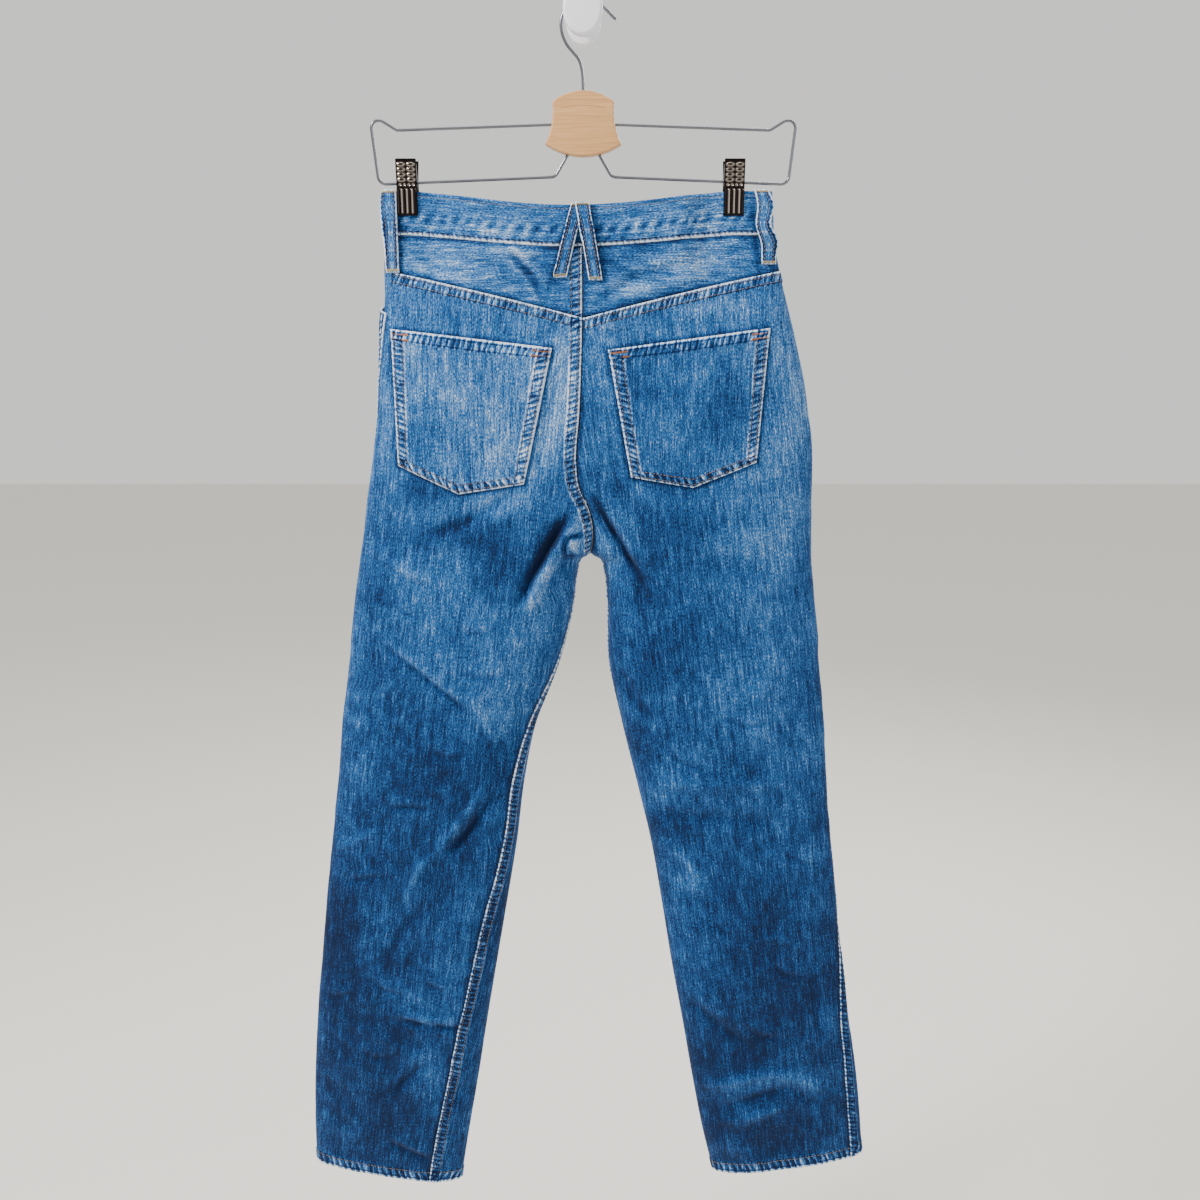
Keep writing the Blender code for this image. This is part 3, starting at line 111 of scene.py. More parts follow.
# points (x, z) in mm, width and depth in mm (a ridge is negative), lip on the path's left
creases = {
    "back": (
        (((-12, -421), (-22, -433), (-45, -473), (-62, -510)), 7.0, 9.5, 0.70),
        (((-2, -440), (-13, -442), (-18, -450), (-15, -459)), 3.2, 5.4, 0.8),
        (((8, -398), (20, -422), (34, -446), (51, -479), (50, -522)), 9.0, 4.6, 0.3),
        (((12, -411), (22, -428), (36, -452), (51, -480)), 3.0, 4.0, 0.8),
        (((22, -440), (34, -470), (36, -500)), 7.0, 2.4, -0.3),
        (((-190, -541), (-147, -575), (-104, -610)), 4.2, 4.6, 0.75),
        (((-192, -455), (-171, -469), (-148, -481)), 5.0, -2.6, 0.0),
        (((-116, -569), (-96, -573), (-74, -572)), 3.6, 2.2, 0.5),
        (((-108, -580), (-97, -612), (-80, -640)), 6.0, -2.6, 0.0),
        (((-184, -624), (-167, -610), (-150, -597)), 5.0, -2.2, 0.0),
        (((-88, -662), (-92, -674), (-113, -708), (-138, -741), (-162, -768), (-176, -806)), 5.4, -4.6, 0.0),
        (((-84, -686), (-104, -716), (-132, -750)), 7.0, 4.2, -0.2),
        (((-196, -724), (-219, -738), (-242, -750)), 5.5, -3.2, 0.0),
        (((-190, -703), (-166, -702), (-146, -704)), 4.0, 2.6, 0.6),
        (((-236, -781), (-214, -778), (-190, -774)), 4.6, 2.4, 0.5),
        (((-150, -798), (-176, -828), (-196, -862)), 8.0, 2.6, 0.4),
        (((-194, -927), (-160, -933), (-122, -940)), 5.6, 4.0, 0.8),
        (((-160, -975), (-178, -994), (-197, -1012)), 7.0, 3.0, 0.4),
        (((-255, -909), (-243, -905), (-228, -900)), 4.0, 2.2, 0.6),
        (((-205, -1066), (-180, -1079), (-157, -1090)), 5.0, 2.6, 0.6),
        (((-120, -1000), (-138, -1030), (-150, -1058)), 9.0, 2.2, 0.3),
        (((50, -684), (90, -678), (127, -677), (200, -681)), 9.0, -3.4, 0.0),
        (((58, -706), (128, -712), (198, -722)), 11.0, 2.6, 0.0),
        (((84, -742), (104, -770), (112, -800)), 8.0, -2.4, 0.0),
        (((110, -1008), (150, -996), (184, -987), (216, -996), (248, -1014)), 6.5, -4.0, 0.0),
        (((130, -1030), (170, -1016), (204, -1005), (244, -1030)), 8.5, 3.4, 0.0),
        (((130, -1047), (168, -1036), (208, -1023)), 6.0, -2.8, 0.0),
        (((100, -908), (130, -932), (166, -960)), 9.0, 2.6, 0.4),
        (((222, -860), (226, -905), (236, -960)), 7.0, 2.2, 0.4),
        (((28, -560), (44, -590), (60, -612)), 8.0, 2.8, 0.3),
        (((95, -450), (130, -470), (172, -478)), 16.0, 2.0, 0.3),
        (((168, -560), (160, -610), (166, -650)), 14.0, -2.0, 0.0),
        (((-70, -192), (-54, -203), (-33, -228)), 4.0, 4.2, 0.8),
        (((-68, -190), (-50, -193), (-36, -200)), 4.6, -2.8, 0.0),
        (((-112, -196), (-90, -203), (-72, -206)), 5.0, 1.8, 0.4),
        (((-30, -207), (-22, -222), (-8, -236)), 4.0, 2.2, 0.5),
        (((12, -236), (48, -214), (100, -202)), 6.0, 2.4, 0.4),
        (((-62, -198), (-48, -212), (-32, -238)), 3.2, 2.8, -0.7),
        (((-58, -187), (-47, -198), (-36, -201)), 3.0, 2.2, 0.6),
        (((-152, -205), (-120, -214), (-84, -222)), 5.0, -1.6, 0.0),
        (((22, -200), (34, -212), (66, -222)), 3.6, 2.2, 0.6),
        (((30, -232), (74, -222), (128, -206)), 4.0, -1.8, 0.0),
        (((-96, -160), (-86, -170), (-82, -182)), 3.4, -1.8, 0.0),
        (((-64, -158), (-52, -168), (-46, -184)), 3.0, -1.7, 0.0),
        (((-124, -156), (-116, -168), (-113, -180)), 3.2, -1.5, 0.0),
        (((34, -166), (44, -174), (50, -186)), 3.0, -1.7, 0.0),
        (((66, -164), (78, -172), (84, -184)), 3.4, -1.8, 0.0),
        (((100, -158), (106, -168), (112, -180)), 3.2, -1.5, 0.0),
        (((-24, -258), (-36, -268), (-58, -266)), 3.4, 1.8, 0.6),
        (((10, -262), (28, -262), (52, -256)), 3.6, 1.6, 0.6),
        (((-176, -468), (-160, -482), (-136, -488)), 3.2, 2.2, 0.6),
        (((-196, -500), (-176, -508), (-150, -520)), 4.0, 1.8, -0.5),
        (((-128, -520), (-106, -532), (-84, -530)), 3.6, 1.8, 0.6),
        (((-210, -600), (-196, -616), (-190, -640)), 4.0, 2.0, 0.5),
        (((-150, -640), (-130, -652), (-108, -648)), 4.0, 2.2, 0.6),
        (((92, -560), (110, -580), (118, -606)), 4.4, 1.8, 0.5),
        (((182, -600), (196, -622), (200, -650)), 4.4, 1.7, -0.5),
        (((126, -610), (150, -622), (176, -618)), 4.0, 1.7, 0.6),
        (((74, -640), (88, -656), (112, -662)), 4.0, 2.0, 0.6),
        (((190, -748), (208, -762), (228, -764)), 4.0, 1.8, 0.6),
        (((120, -820), (140, -836), (150, -862)), 5.0, 1.8, -0.5),
        (((178, -860), (196, -880), (220, -884)), 4.6, 1.8, 0.6),
        (((150, -930), (172, -946), (200, -950)), 4.6, 2.0, 0.6),
        (((-230, -960), (-214, -972), (-196, -970)), 4.4, 1.8, 0.6),
        (((-160, -884), (-142, -896), (-130, -916)), 4.4, 1.8, 0.6),
        (((-214, -880), (-200, -896), (-176, -902)), 4.4, 1.9, 0.6),
        (((118, -196), (140, -188), (154, -182)), 5.0, 2.0, 0.5),
        (((-56, -398), (-100, -425), (-150, -444)), 8.0, 3.4, 0.5),
        (((-20, -286), (-30, -330), (-46, -400)), 9.0, 2.0, -0.5),
        (((18, -380), (40, -410), (70, -428)), 8.0, 2.0, 0.4),
        (((-186, -300), (-182, -340), (-192, -392)), 6.0, 1.8, 0.4),
    ),
    "front": (
        (((-12, -452), (-40, -430), (-92, -412)), 7.0, 4.0, 0.6),
        (((12, -450), (44, -424), (104, -408)), 7.5, 4.2, -0.6),
        (((-14, -440), (-60, -398), (-132, -384)), 6.0, 3.0, 0.6),
        (((18, -430), (58, -388), (140, -372)), 6.5, 2.6, -0.6),
        (((-10, -462), (-52, -478), (-104, -520)), 8.0, 4.6, -0.5),
        (((14, -464), (58, -486), (112, -532)), 8.5, 4.4, 0.5),
        (((-150, -260), (-120, -292), (-66, -318)), 6.0, 2.4, 0.5),
        (((146, -268), (112, -300), (60, -330)), 6.0, 2.4, -0.5),
        (((-228, -705), (-170, -722), (-96, -700)), 7.0, 3.6, 0.6),
        (((-226, -748), (-166, -742), (-88, -760)), 8.0, 3.0, -0.5),
        (((-220, -655), (-160, -668), (-110, -650)), 7.0, -2.8, 0.0),
        (((226, -722), (170, -706), (84, -730)), 7.0, 3.6, -0.6),
        (((224, -770), (168, -780), (96, -762)), 8.0, 3.0, 0.5),
        (((214, -668), (150, -652), (92, -672)), 8.0, -2.6, 0.0),
        (((-250, -930), (-200, -950), (-150, -940)), 6.0, 3.0, 0.5),
        (((-262, -1010), (-214, -996), (-168, -1018)), 7.0, -3.0, 0.0),
        (((252, -918), (200, -902), (146, -924)), 6.5, 3.0, -0.5),
        (((266, -1000), (220, -1020), (166, -1004)), 7.0, -3.0, 0.0),
        (((-190, -840), (-178, -880), (-196, -915)), 10.0, 2.0, 0.3),
        (((180, -830), (196, -870), (184, -905)), 10.0, 2.0, 0.3),
    ),
}

# x, z, half sizes in mm, turn in degrees, amount: where the blue is paler or deeper, partly the denim's own fading and
# partly painted shade and painted highlight along creases and folds, round the crotch and beside the belt loops
fadingAndShade = {
    "back": (
        (-95, -330, 52, 40, 0, -0.05),
        # painted shade along the crease under the left pocket
        (-112, -436, 46, 13, 14, -0.20),
        (-118, -466, 50, 14, 12, 0.08),
        # painted shade in the creases and the rolled fold either side of the crotch seam, with painted highlights on
        # the fold
        (-31, -448, 46, 6, 60, -0.26),
        (-31, -448, 27, 4, 60, -0.26),
        (-30, -462, 34, 6, 60, 0.10),
        (-17.5, -450, 2.6, 9, 0, -0.50),
        (-9, -441, 9, 2.4, 8, -0.40),
        (-11, -460, 6, 2.2, 0, -0.36),
        (-9, -451, 5, 6, 0, 0.30),
        (30, -443, 42, 2.6, -60, -0.36),
        (-30, -345, 13, 66, -16, 0.22),
        (-64, -405, 22, 16, 20, 0.10),
        (30, -296, 24, 26, 0, 0.08),
        (122, -360, 34, 24, -20, 0.02),
        (90, -330, 40, 40, 0, -0.05),
        (100, -424, 46, 12, -6, -0.12),
        (150, -300, 30, 60, 0, 0.02),
        (62, -432, 46, 30, 0, -0.12),
        (-150, -505, 52, 40, 0, 0.05),
        (-61, -556, 11, 58, -10, 0.07),
        (-105, -600, 34, 22, -35, 0.04),
        (-150, -598, 32, 18, 0, -0.08),
        (-170, -600, 34, 34, 0, -0.02),
        (-140, -664, 50, 30, 0, -0.21),
        (-205, -690, 24, 46, 0, 0.05),
        (-150, -760, 60, 24, 0, -0.07),
        (-168, -850, 40, 40, 0, 0.04),
        (-236, -910, 18, 44, 0, -0.15),
        (-150, -905, 34, 28, 0, 0.09),
        (-228, -860, 16, 60, 0, 0.03),
        (-148, -985, 22, 40, -8, 0.22),
        (-190, -935, 30, 16, 10, -0.08),
        (-118, -800, 16, 34, 0, 0.10),
        (-222, -1005, 30, 60, 0, -0.15),
        (152, -545, 52, 60, 0, 0.14),
        (60, -560, 26, 60, 0, -0.07),
        (40, -520, 10, 52, 0, 0.06),
        (130, -674, 60, 14, 0, -0.15),
        (72, -690, 24, 26, 0, 0.07),
        (150, -712, 62, 14, 0, 0.08),
        (98, -778, 24, 40, 10, 0.10),
        (172, -800, 50, 46, 0, -0.10),
        (225, -860, 16, 70, 0, 0.05),
        (190, -910, 44, 60, 0, -0.13),
        (112, -850, 16, 60, 8, 0.08),
        (182, -1000, 60, 12, 0, 0.19),
        (140, -1040, 36, 12, 14, 0.08),
        (210, -1056, 44, 20, 0, -0.09),
        (-86, -172, 62, 16, 0, 0.04),
        (92, -172, 56, 16, 0, 0.06),
        (-115, -202, 40, 16, 0, 0.15),
        (90, -200, 40, 12, 14, 0.08),
        (188, -340, 18, 70, 0, 0.14),
        (0, -200, 22, 40, 0, -0.06),
        (29, -205, 14, 8, 0, -0.18),
        (38, -226, 16, 7, 0, 0.30),
        (84, -207, 16, 8, 10, 0.15),
        (-71, -206, 10, 8, 0, -0.10),
        (104, -242, 18, 5, 10, 0.14),
        # painted shade between the left pocket's foot and the crotch crease
        (-75, -452, 50, 24, 0, -0.27),
        (-140, -405, 30, 14, 0, -0.22),
        (-38, -412, 16, 22, 0, -0.24),
        (29, -448, 14, 26, 0, 0.32),
        (160, -458, 44, 38, 0, 0.15),
        (-192, -500, 24, 36, 0, -0.21),
        (108, -535, 26, 28, 0, -0.16),
        (124, -322, 14, 34, 0, -0.20),
        (70, -350, 12, 22, 0, 0.16),
        (-76, -358, 12, 24, 0, 0.16),
        (-146, -360, 14, 32, 0, -0.16),
        (200, -656, 30, 26, 0, 0.13),
        (91, -665, 14, 10, 0, 0.12),
        (96, -722, 34, 17, 0, -0.20),
        (104, -778, 24, 12, 0, 0.14),
        (222, -752, 14, 12, 0, 0.12),
        (-234, -826, 18, 36, 0, -0.23),
        (-190, -720, 28, 24, 0, -0.15),
        (-114, -715, 14, 16, 0, -0.10),
        (-150, -688, 26, 9, 0, -0.10),
        (136, -998, 34, 16, 0, -0.15),
        (136, -1042, 22, 14, 0, -0.17),
        (125, -1066, 12, 12, 0, -0.12),
        (-256, -920, 9, 90, 0, -0.12),
        (-150, -960, 18, 40, 0, -0.10),
        (-150, -893, 16, 14, 0, -0.08),
        (-52, -582, 8, 16, 0, 0.12),
        (50, -626, 12, 20, 0, -0.14),
        (70, -731, 12, 12, 0, -0.14),
        (150, -1054, 20, 12, 0, -0.13),
        (-185, -867, 18, 13, 0, -0.14),
        (-108, -366, 12, 18, 0, -0.13),
        (-248, -858, 9, 24, 0, -0.11),
        (-72, -482, 20, 12, 0, -0.10),
        (-90, -416, 12, 8, 0, 0.12),
        (46, -300, 12, 10, 0, -0.12),
        (-40, -214, 14, 18, 0, -0.06),
        # painted shadows beside the belt loops
        (-19.5, -188, 34, 1.8, 74, -0.34),
        (12.0, -190, 34, 1.8, -79, -0.34),
        (-160, -184, 1.8, 34, 0, -0.30),
        (149.5, -184, 34, 1.8, -82, -0.30),
    ),
    "front": (
        (-105, -470, 46, 60, 12, 0.16),
        (105, -470, 46, 60, -12, 0.15),
        (-140, -600, 44, 90, 6, 0.15),
        (142, -600, 44, 90, -6, 0.14),
        (-160, -730, 44, 40, 0, 0.12),
        (158, -735, 44, 40, 0, 0.12),
        (-200, -920, 30, 60, 0, 0.05),
        (200, -920, 30, 60, 0, 0.05),
        (0, -440, 20, 30, 0, 0.10),
        (-80, -260, 50, 30, 0, 0.06),
        (90, -260, 50, 30, 0, 0.06),
    ),
}
# the blue's tone by height on each leg: partly the denim's own fading, partly painted shade that deepens down the
# legs; the right thigh is darker
toneByHeight = {
    "z": (-1.13, -1.00, -0.90, -0.75, -0.60, -0.46, -0.40, -0.25, -0.14),
    "left": (0.16, 0.22, 0.22, 0.25, 0.36, 0.44, 0.50, 0.50, 0.50),
    "right": (0.14, 0.18, 0.22, 0.27, 0.28, 0.28, 0.40, 0.46, 0.48),
}
grain = {"step": 0.0025, "arcSamples": 150}
# the warp runs down each leg along this line: x at two heights
warpLine = {"left": (-0.088, -0.196), "right": (0.096, 0.205)}


def smoothThrough(heights, values, at):
    order = np.argsort(heights)
    z = np.asarray(heights, float)[order]
    v = np.asarray(values, float)[order]
    slope = np.gradient(v, z)
    low = np.clip(np.searchsorted(z, at) - 1, 0, len(z) - 2)
    span = z[low + 1] - z[low]
    t = np.clip((at - z[low]) / span, 0.0, 1.0)
    rise = slope[low] * span * t * (1 - t) ** 2 - slope[low + 1] * span * t**2 * (1 - t)
    return v[low] * (1 + 2 * t) * (1 - t) ** 2 + v[low + 1] * t**2 * (3 - 2 * t) + rise


def smoothStep(t):
    t = np.clip(t, 0.0, 1.0)
    return t * t * (3 - 2 * t)


def bell(distance, width):
    return np.exp(-((distance / width) ** 2))


def softNoise(x, z, size, seed):
    # smooth value noise between -1 and 1
    table = np.random.default_rng(seed).random((97, 97)) * 2 - 1
    px, pz = x / size + 31.7, z / size + 57.3
    ix, iz = np.floor(px).astype(int), np.floor(pz).astype(int)
    fx, fz = smoothStep(px - ix), smoothStep(pz - iz)
    pick = lambda a, b: table[a % 97, b % 97]
    low = pick(ix, iz) * (1 - fx) + pick(ix + 1, iz) * fx
    high = pick(ix, iz + 1) * (1 - fx) + pick(ix + 1, iz + 1) * fx
    return low * (1 - fz) + high * fz


levelStep = 0.0025
levels = np.arange(-1.150, -0.125 + levelStep / 2, levelStep)


def levelColumns(side):
    # each leg has four columns of its own, after the two that both share
    first = 2 if side == "left" else 6
    heights, *values = zip(*legRows)
    picked = values[:2] + values[first : first + 4]
    return {name: smoothThrough(heights, value, levels) for name, value in zip(columnNames, picked)}


columns = {side: levelColumns(side) for side in sides}
seatX = smoothThrough(*zip(*seatSeam), levels)
print("levels worked out")


def atLevel(side, name, z):
    return np.interp(z, levels, columns[side][name])


def openingAt(z):
    t = np.clip((body["curveTop"] - z) / (body["curveTop"] - body["crotch"]), 0.0, 1.0)
    return np.sqrt(1.0 - t**2)


def innerEdge(side, face, z):
    centre = np.interp(z, levels, seatX)
    if face == "front":
        centre = centre * (1 - openingAt(z))
    leg = atLevel(side, "inner", z)
    return np.where(z > body["crotch"] + 0.0001, centre, leg) + away[side] * body["gap"]


creaseShape = {
    "ends": 0.30,
    "blunt": 0.12,
    "uneven": 0.28,
    "patch": 19.0,
    "hollow": 0.62,
    "ridge": 0.80,
    "lipAt": 2.1,
    "lipWide": 1.5,
}


def creaseRise(face, x, z):
    # how far the listed creases push a face out, in metres
    rise = np.zeros(np.broadcast(x, z).shape)
    x, z = x * 1000, z * 1000
    shape = creaseShape
    for path, width, depth, lip in creases[face]:
        near = np.full(rise.shape, 1e9)
        signed = np.zeros(rise.shape)
        place = np.zeros(rise.shape)
        lengths = [math.dist(a, b) for a, b in zip(path, path[1:])]
        run = 0.0
        for (ax, az), (bx, bz), length in zip(path, path[1:], lengths):
            t = np.clip(((x - ax) * (bx - ax) + (z - az) * (bz - az)) / length**2, 0, 1)
            far = np.hypot(x - ax - t * (bx - ax), z - az - t * (bz - az))
            beside = np.sign((bx - ax) * (z - az) - (bz - az) * (x - ax))
            closer = far < near
            near = np.where(closer, far, near)
            signed = np.where(closer, far * beside, signed)
            place = np.where(closer, (run + t * length) / sum(lengths), place)
            run += length
        ends = smoothStep(place / shape["ends"] + shape["blunt"])
        ends = ends * smoothStep((1 - place) / shape["ends"] + shape["blunt"])
        uneven = 1 + shape["uneven"] * softNoise(x, z, shape["patch"], 5)
        narrow = width * shape["hollow" if depth > 0 else "ridge"]
        rise -= depth * ends * uneven * np.exp(-((near / narrow) ** 1.5)) / 1000
        if lip:
            beside = signed * np.sign(lip) - shape["lipAt"] * narrow
            rise += abs(lip) * depth * ends * bell(beside, shape["lipWide"] * narrow) / 1000
    return rise


def crinkle(x, z, turn, longer, shorter, seed):
    # sharp little ridges that run one way
    a = math.radians(turn)
    u = x * math.cos(a) + z * math.sin(a)
    v = (z * math.cos(a) - x * math.sin(a)) * longer / shorter
    return (1 - np.abs(softNoise(u, v, longer, seed))) ** 4 - 0.35


rumples = {
    "seed": {"back": 11, "front": 23},
    # squeeze, size, height in metres
    "waves": ((0.8, 0.047, 0.0012), (0.7, 0.017, 0.0005), (0.6, 0.0075, 0.00015)),
    # turn in degrees, length and width in metres, height in mm
    "crinkles": ((-38, 0.052, 0.017, 1.3), (34, 0.045, 0.015, 1.0), (84, 0.060, 0.013, 0.7)),
    "patch": 0.075,
    "seatShare": 0.35,
}


def rumple(face, x, z):
    seed = rumples["seed"][face]
    rise = 0
    for k, (squeeze, size, height) in enumerate(rumples["waves"]):
        rise = rise + softNoise(x, z * squeeze, size, seed + k) * height
    legs = rumples["seatShare"] + (1 - rumples["seatShare"]) * smoothStep((-0.42 - z) / 0.12)
    for turn, longer, shorter, height in rumples["crinkles"]:
        seed += 3
        where = smoothStep(softNoise(x, z, rumples["patch"], seed) * 1.4 + 0.30)
        rise = rise + crinkle(x, z, turn, longer, shorter, seed) * where * legs * height / 1000
    return rise


gripped = {"wide": 0.018, "fade": 0.030, "fadeDown": 0.099}


def halfDepth(side, face, x, z):
    inner = innerEdge(side, face, z)
    outer = atLevel(side, "outer", z)
    share = np.clip((x - inner) / (outer - inner), 0.0, 1.0)
    edge = (1 - share ** body["edgePower"]) ** (1 / body["edgePower"])
    turn = np.clip(share / body["innerRound"], 0.0, 1.0)
    opening = openingAt(z)
    centre = opening + (1 - opening) * np.sqrt(1 - (1 - turn) ** 2)
    fade = np.minimum(edge, centre) ** 0.7
    depth = atLevel(side, face, z) * edge * centre
    depth = depth + (creaseRise(face, x, z) + rumple(face, x, z)) * fade
    # the clip presses the cloth flat
    beside = np.abs(x - clipX[side])
    window = 1 - smoothStep((beside - gripped["wide"]) / gripped["fade"])
    window = window * (1 - smoothStep((clip["low"] - z) / gripped["fadeDown"]))
    return depth + (np.minimum(depth, clip["grip"]) - depth) * window


def buildSkin(side):
    # every level's outline round one half, cut into back and front at its two seams
    count = grain["arcSamples"]
    spread = 0.5 * (1 - np.cos(np.linspace(0.0, math.pi, count)))
    z = levels[:, None]
    halves = {}
    for face in faces:
        inner = innerEdge(side, face, z)
        x = inner + (atLevel(side, "outer", z) - inner) * spread[None, :]
        y = body["hangY"] + outward[face] * halfDepth(side, face, x, z + 0 * x)
        halves[face] = np.stack([x, y], axis=-1)
    lines = {face: [] for face in faces}
    widths = {face: [] for face in faces}
    for k, height in enumerate(levels):
        path = np.concatenate([halves["back"][k], halves["front"][k][::-1][1:]])
        steps = np.linalg.norm(np.diff(path, axis=0), axis=1)
        run = np.concatenate([[0.0], np.cumsum(steps)])
        total = run[-1]
        places = np.concatenate([run[:-1] - total, run, run[1:] + total])
        looped = np.concatenate([path[:-1], path, path[1:]])
        outseam = run[count - 1] - columns[side]["outTurn"][k]
        inseam = columns[side]["inTurn"][k] if height < body["crotch"] else 0.0
        for face, start in (("back", inseam), ("front", total + inseam)):
            wanted = np.linspace(start, outseam, count)
            lines[face].append(np.stack([np.interp(wanted, places, looped[:, i]) for i in (0, 1)], axis=1))
            widths[face].append(abs(outseam - start))
    return {face: (np.array(lines[face]), np.array(widths[face])) for face in faces}


skin = {side: buildSkin(side) for side in sides}
print("skin of both halves worked out")


def widthAt(side, face, z):
    return np.interp(z, levels, skin[side][face][1])


def flatLook(side, face, share, z):
    table = skin[side][face][0]
    row = np.clip((z - levels[0]) / levelStep, 0, len(levels) - 1.001)
    place = np.clip(share, 0, 1) * (grain["arcSamples"] - 1)
    r = row.astype(int)
    c = np.minimum(place.astype(int), grain["arcSamples"] - 2)
    fr, fc = (row - r)[..., None], (place - c)[..., None]
    near = table[r, c] * (1 - fc) + table[r, c + 1] * fc
    far = table[r + 1, c] * (1 - fc) + table[r + 1, c + 1] * fc
    xy = near * (1 - fr) + far * fr
    return np.concatenate([xy, z[..., None]], axis=-1)


def onSkin(side, face, share, z):
    # share runs from the inner seam, 0, to the outseam, 1, and may go on past either
    share, z = (np.array(a, float) for a in np.broadcast_arrays(share, z))
    points = flatLook(side, face, share, z)
    legs = z < body["crotch"] + 0.0001
    for pick, nextSide, nextFace in (
        (share > 1, side, other[face]),
        ((share < 0) & legs, side, other[face]),
        ((share < 0) & ~legs, other[side], face),
    ):
        if pick.any():
            past = share[pick]
            ratio = widthAt(side, face, z[pick]) / widthAt(nextSide, nextFace, z[pick])
            nextShare = np.where(past > 1, 1 - (past - 1) * ratio, -past * ratio)
            points[pick] = flatLook(nextSide, nextFace, nextShare, z[pick])
    return points


def skinNormal(side, face, share, z, step=0.0030):
    reach = step / widthAt(side, face, z)
    across = onSkin(side, face, share + reach, z) - onSkin(side, face, share - reach, z)
    down = onSkin(side, face, share, z - step) - onSkin(side, face, share, z + step)
    normal = np.cross(down, across)
    normal /= np.linalg.norm(normal, axis=-1, keepdims=True) + 1e-12
    return normal * -away[side] * outward[face]


def lifted(side, face, share, z, lift):
    share, z = (np.array(a, float) for a in np.broadcast_arrays(share, z))
    lift = np.broadcast_to(lift, share.shape)[..., None]
    return onSkin(side, face, share, z) + skinNormal(side, face, share, z) * lift


def faceLifted(side, x, z, lift, step=0.0030):
    # a point on the back at a given x and z
    def at(px, pz):
        return np.stack([px, body["hangY"] - halfDepth(side, "back", px, pz), pz], axis=-1)

    normal = np.cross(at(x, z - step) - at(x, z + step), at(x + step, z) - at(x - step, z))
    normal /= np.linalg.norm(normal, axis=-1, keepdims=True)
    return at(x, z) + normal * np.broadcast_to(lift, np.shape(x))[..., None]


def sagAt(x):
    t = (x - clipX["left"]) / (clipX["right"] - clipX["left"])
    return np.sin(math.pi * np.clip(t, 0.0, 1.0)) ** 1.3


def bandTop(face, x):
    return bandEdge["top"] - bandEdge["sag"][face] * sagAt(x)


def bandLow(face, x):
    return bandTop(face, x) - bandEdge["tall"] + bandEdge["narrowed"] * sagAt(x)


def yokeLow(x):
    height, slope, bend = yokeSeam
    return height + slope * np.abs(x) + bend * x * x


def hemLow(side, x):
    height, slope, middle = hemLine[side]
    return height + slope * (x - middle)


def settle(side, face, share, heightOf, guess):
    # heights of the points at some shares on a line whose height depends on x
    z = np.full(np.shape(share), guess, float)
    for _ in range(5):
        z = heightOf(onSkin(side, face, share, z)[..., 0])
    return z


def underBand(side, face, share, guess=-0.19):
    return settle(side, face, share, lambda x: bandLow(face, x), guess)


def atHem(side, face, share, above=0.0):
    return settle(side, face, share, lambda x: hemLow(side, x) + above, body["hem"])


pockets = {
    "left": ((-0.1690, -0.2588), (-0.0273, -0.2749), (-0.0530, -0.3930), (-0.1115, -0.4025), (-0.1655, -0.3779)),
    "right": ((0.0212, -0.2766), (0.1627, -0.2580), (0.1531, -0.3744), (0.0969, -0.3966), (0.0417, -0.3868)),
}


def warpPlace(side, face, z):
    # how far the warp line lies from the inner seam, measured along the cloth
    shares = np.linspace(0, 1, 121)
    found = []
    for height in levels:
        line = onSkin(side, face, shares, np.full(121, height))[..., 0]
        x = np.interp(height, (-1.10, -0.25), warpLine[side][::-1])
        found.append(np.interp(abs(x), np.abs(line), shares) * widthAt(side, face, height))
    return np.interp(z, levels, found)


def edgeWander(side, z):
    # how the outline strays from a smooth curve at the outseam
    seed = 71 if side == "left" else 83
    return softNoise(z, z * 0, 0.034, seed) * 0.0011 + softNoise(z, z * 0, 0.013, seed + 1) * 0.0004


def toneAt(side, face, x, z):
    tone = np.interp(z, toneByHeight["z"], toneByHeight[side])
    # the tone patches add the denim's fading with painted shade and painted highlight
    for fx, fz, rx, rz, turn, amount in fadingAndShade[face]:
        a = math.radians(turn)
        px, pz = x * 1000 - fx, z * 1000 - fz
        u = (px * math.cos(a) + pz * math.sin(a)) / rx
        v = (-px * math.sin(a) + pz * math.cos(a)) / rz
        tone = tone + amount * np.exp(-(u * u + v * v) * 0.8)
    # crease ridges and rumples are painted paler and their hollows darker: partly wear on the ridges, partly painted
    # shade and highlight
    raised = creaseRise(face, x, z) * 1000
    return tone + np.clip(raised, -3.5, 3.5) * 0.045 + rumple(face, x, z) * 1000 * 0.055


def plateau(distance, width, soft=0.0016):
    return 1 - smoothStep((distance - width + soft / 2) / soft)


def ladder(along, seed, pitch=0.0062):
    # uneven puckers along a seam, between -1 and 1
    wander = softNoise(along, along * 0, 0.021, seed) * 1.3
    return np.sin(along / pitch * 2 * math.pi + wander * 2.2)


def srgb(r, g, b):
    return tuple(((c / 255 + 0.055) / 1.055) ** 2.4 if c > 10 else c / 255 / 12.92 for c in (r, g, b))


